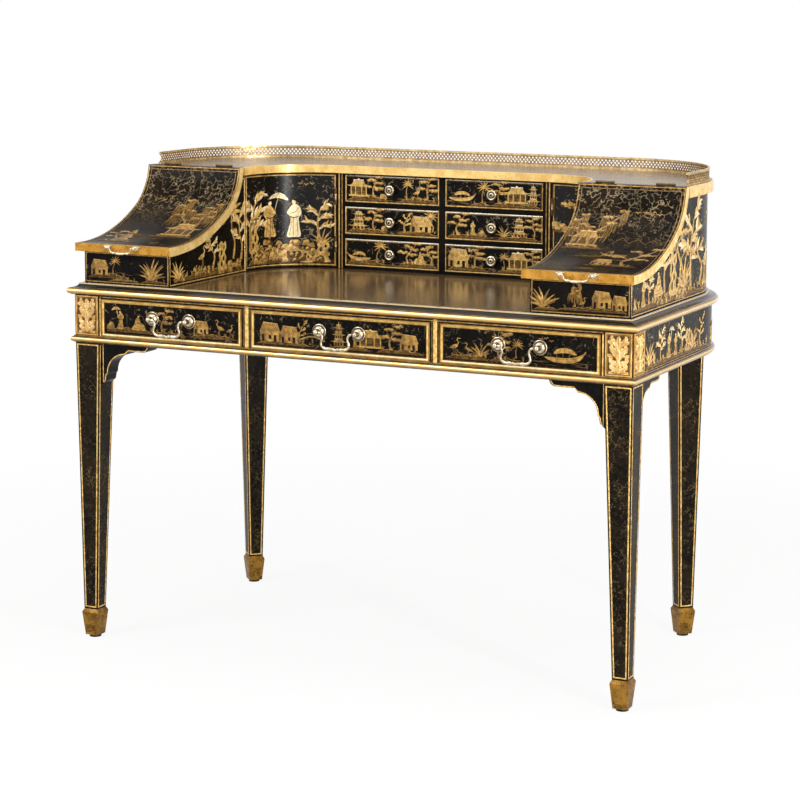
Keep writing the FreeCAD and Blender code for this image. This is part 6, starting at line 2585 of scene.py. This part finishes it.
@dataclass
class Gallery:
    """Pierced gallery of crossed bars between two bands, round the shelf.

    Attributes:
        corner: Distance of the corner's middle from the desk's middle, and its depth.
        pitch: Usual distance from one bar to the next.
    """

    shop: Workshop
    half: float = 609.0
    start: float = -13.4
    corner: Point = (360.0, 81.8)
    bottom: float = 991.3
    top: float = 1010.6
    pitch: float = 8.6
    width: float = 3.1
    thickness: float = 1.3

    def build(self) -> None:
        """Builds the crossed bars and the bands above and below them."""
        work = Shape()
        length = 2 * sum(self._parts())
        count = round(length / self.pitch)
        pitch = (length - self.width) / count
        bar, band = (self.width / 2, self.thickness / 2), self.thickness * 0.7
        for index in range(count - 1):
            for way in (0, 1):
                out = 0.2 * way - 0.1
                ends = (index + 2 * way, self.bottom), (index + 2 - 2 * way, self.top)
                work.rows([self._bar(bar[0] + pitch * at, z, *bar, out) for at, z in ends])
        for low, high in ((self.bottom, self.bottom + 1.6), (self.top - 2.6, self.top)):
            ring = ((-band, low), (band, low), (band, high), (-band, high))
            places = [length * index / (count * 2) for index in range(count * 2 + 1)]
            work.rows([[self._spot(along, *corner) for corner in ring] for along in places])
        work.piece(
            "gallery_crossed_bars", "desk", "brass_fittings", [self.shop.material(GALLERY_BRASS)],
            ["gallery_lattice"], is_smooth=False,
        )

    def _parts(self) -> Spot:
        """Returns the lengths of a side, of the bend round a corner and of half the back."""
        bend = (self.half - self.corner[0]) * math.pi / 2
        return self.corner[1] - self.start, bend, self.corner[0]

    def _spot(self, along: float, out: float, z: float) -> Vector:
        """Finds a point by its distance along the gallery.

        Args:
            along: Distance from the left end.
            out: Distance outwards from the gallery's line.
            z: Its height.

        Returns:
            The point.
        """
        across, depth = self.corner
        radius = self.half - across
        side, bend, back = self._parts()
        whole = 2 * (side + bend + back)
        mirror = -1 if along < whole / 2 else 1
        rest = along if mirror < 0 else whole - along
        if rest <= side:
            x, y = self.half + out, self.start + rest
        elif rest <= side + bend:
            angle = (rest - side) / radius
            x, y = across + (radius + out) * math.cos(angle), depth + (radius + out) * math.sin(angle)
        else:
            x, y = across - (rest - side - bend), depth + radius + out
        return Vector((mirror * x, y, z))

    def _bar(self, along: float, z: float, half: float, reach: float, out: float) -> list[Vector]:
        """Returns the four corners of a bar's end."""
        ring = ((-half, -reach), (half, -reach), (half, reach), (-half, reach))
        return [self._spot(along + u, out + w, z) for u, w in ring]


# ---------------------------------------------------------------- the desk's boards
def both(name: str, main: Finish, other: Finish, zone: Zone, specular: float = 0.5) -> TwoFinishes:
    """Joins a board's main finish with the one that its zone shows."""
    return TwoFinishes(name, specular, main=main, other=other, zone=zone)


def dress_boards(shop: Workshop) -> None:
    """Gives every CAD board that stays in sight its finish.

    Args:
        shop: The workshop that makes the materials.
    """
    for finish, nodes in (
        (both("leg_finish", LEG_LACQUER, FOOT_GOLD, Zone.FOOT, 0.06),
         "front_left_leg front_right_leg rear_left_leg rear_right_leg"),
        (IRON, "foot_glides"), (PLAIN_LACQUER, "corner_brackets"),
        (both("framing_finish", PLAIN_LACQUER, PLAIN_WOOD, Zone.BEHIND_RAIL, 0.1), "drawer_framing"),
        (PANEL_LACQUER, "left_frieze right_frieze back_frieze left_wing_side right_wing_side upper_back"),
        (WING_LACQUER, "left_wing_box right_wing_box"), (CASE_LACQUER, "drawer_case"),
        (FRIEZE_BEAD, "frieze_bead"), (TOP_BEAD, "top_bead"),
        (both("desk_top_finish", TOP_COVE, TOP_LACQUER, Zone.DESK_UPPER, 0.3), "desk_top"),
        (BOARD, "writing_surface"),
        (both("shelf_finish", PLAIN_LACQUER, SHELF_POLISH, Zone.SHELF_TOP, 0.3), "shelf"),
        (SHELF_GOLD, "shelf_moulding"), (SHELF_POLISH, "fixed_hinges"),
        (DOOR_LACQUER, "left_door right_door"),
        (BRASS, "gallery_rails left_door_fittings right_door_fittings"),
        (both("lid_finish", LID_LACQUER, LID_EDGES, Zone.LID_EDGE, 0.03), "left_lid right_lid"),
        (both("lid_fitting_finish", SHELF_POLISH, SILVER, Zone.HANDLE_PLATES),
         "left_lid_fittings right_lid_fittings"),
        (both("drawer_front_finish", DRAWER_LACQUER, MOULDING_GOLD, Zone.FRONT_BEAD, 0.05),
         "left_drawer_front middle_drawer_front right_drawer_front"),
        (PLAIN_WOOD, "left_drawer_box middle_drawer_box right_drawer_box"),
        (both("small_drawer_finish", PANEL_LACQUER, PLAIN_WOOD, Zone.BEHIND_SMALL_FRONT, 0.07),
         " ".join(f"{side}_small_drawer_{row}" for _, side in SIDES for row in (1, 2, 3))),
    ):
        shop.dress(finish, *nodes.split())


def main() -> None:
    """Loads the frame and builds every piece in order."""
    logging.basicConfig(level=logging.INFO, format="%(name)s: %(message)s")
    for left_over in list(bpy.data.objects):
        bpy.data.objects.remove(left_over)
    bpy.context.scene.view_settings.view_transform = "Standard"
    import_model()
    shop = Workshop()
    Studio().build()
    dress_boards(shop)
    for fittings in (DrawerPulls(), SmallKnobs(), LidHandles(), CornerOrnaments()):
        fittings.build(shop)
    for work in (PictureCycle(shop), GiltLines(shop), Gallery(shop)):
        work.build()
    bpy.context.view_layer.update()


if __name__ == "__main__":
    main()
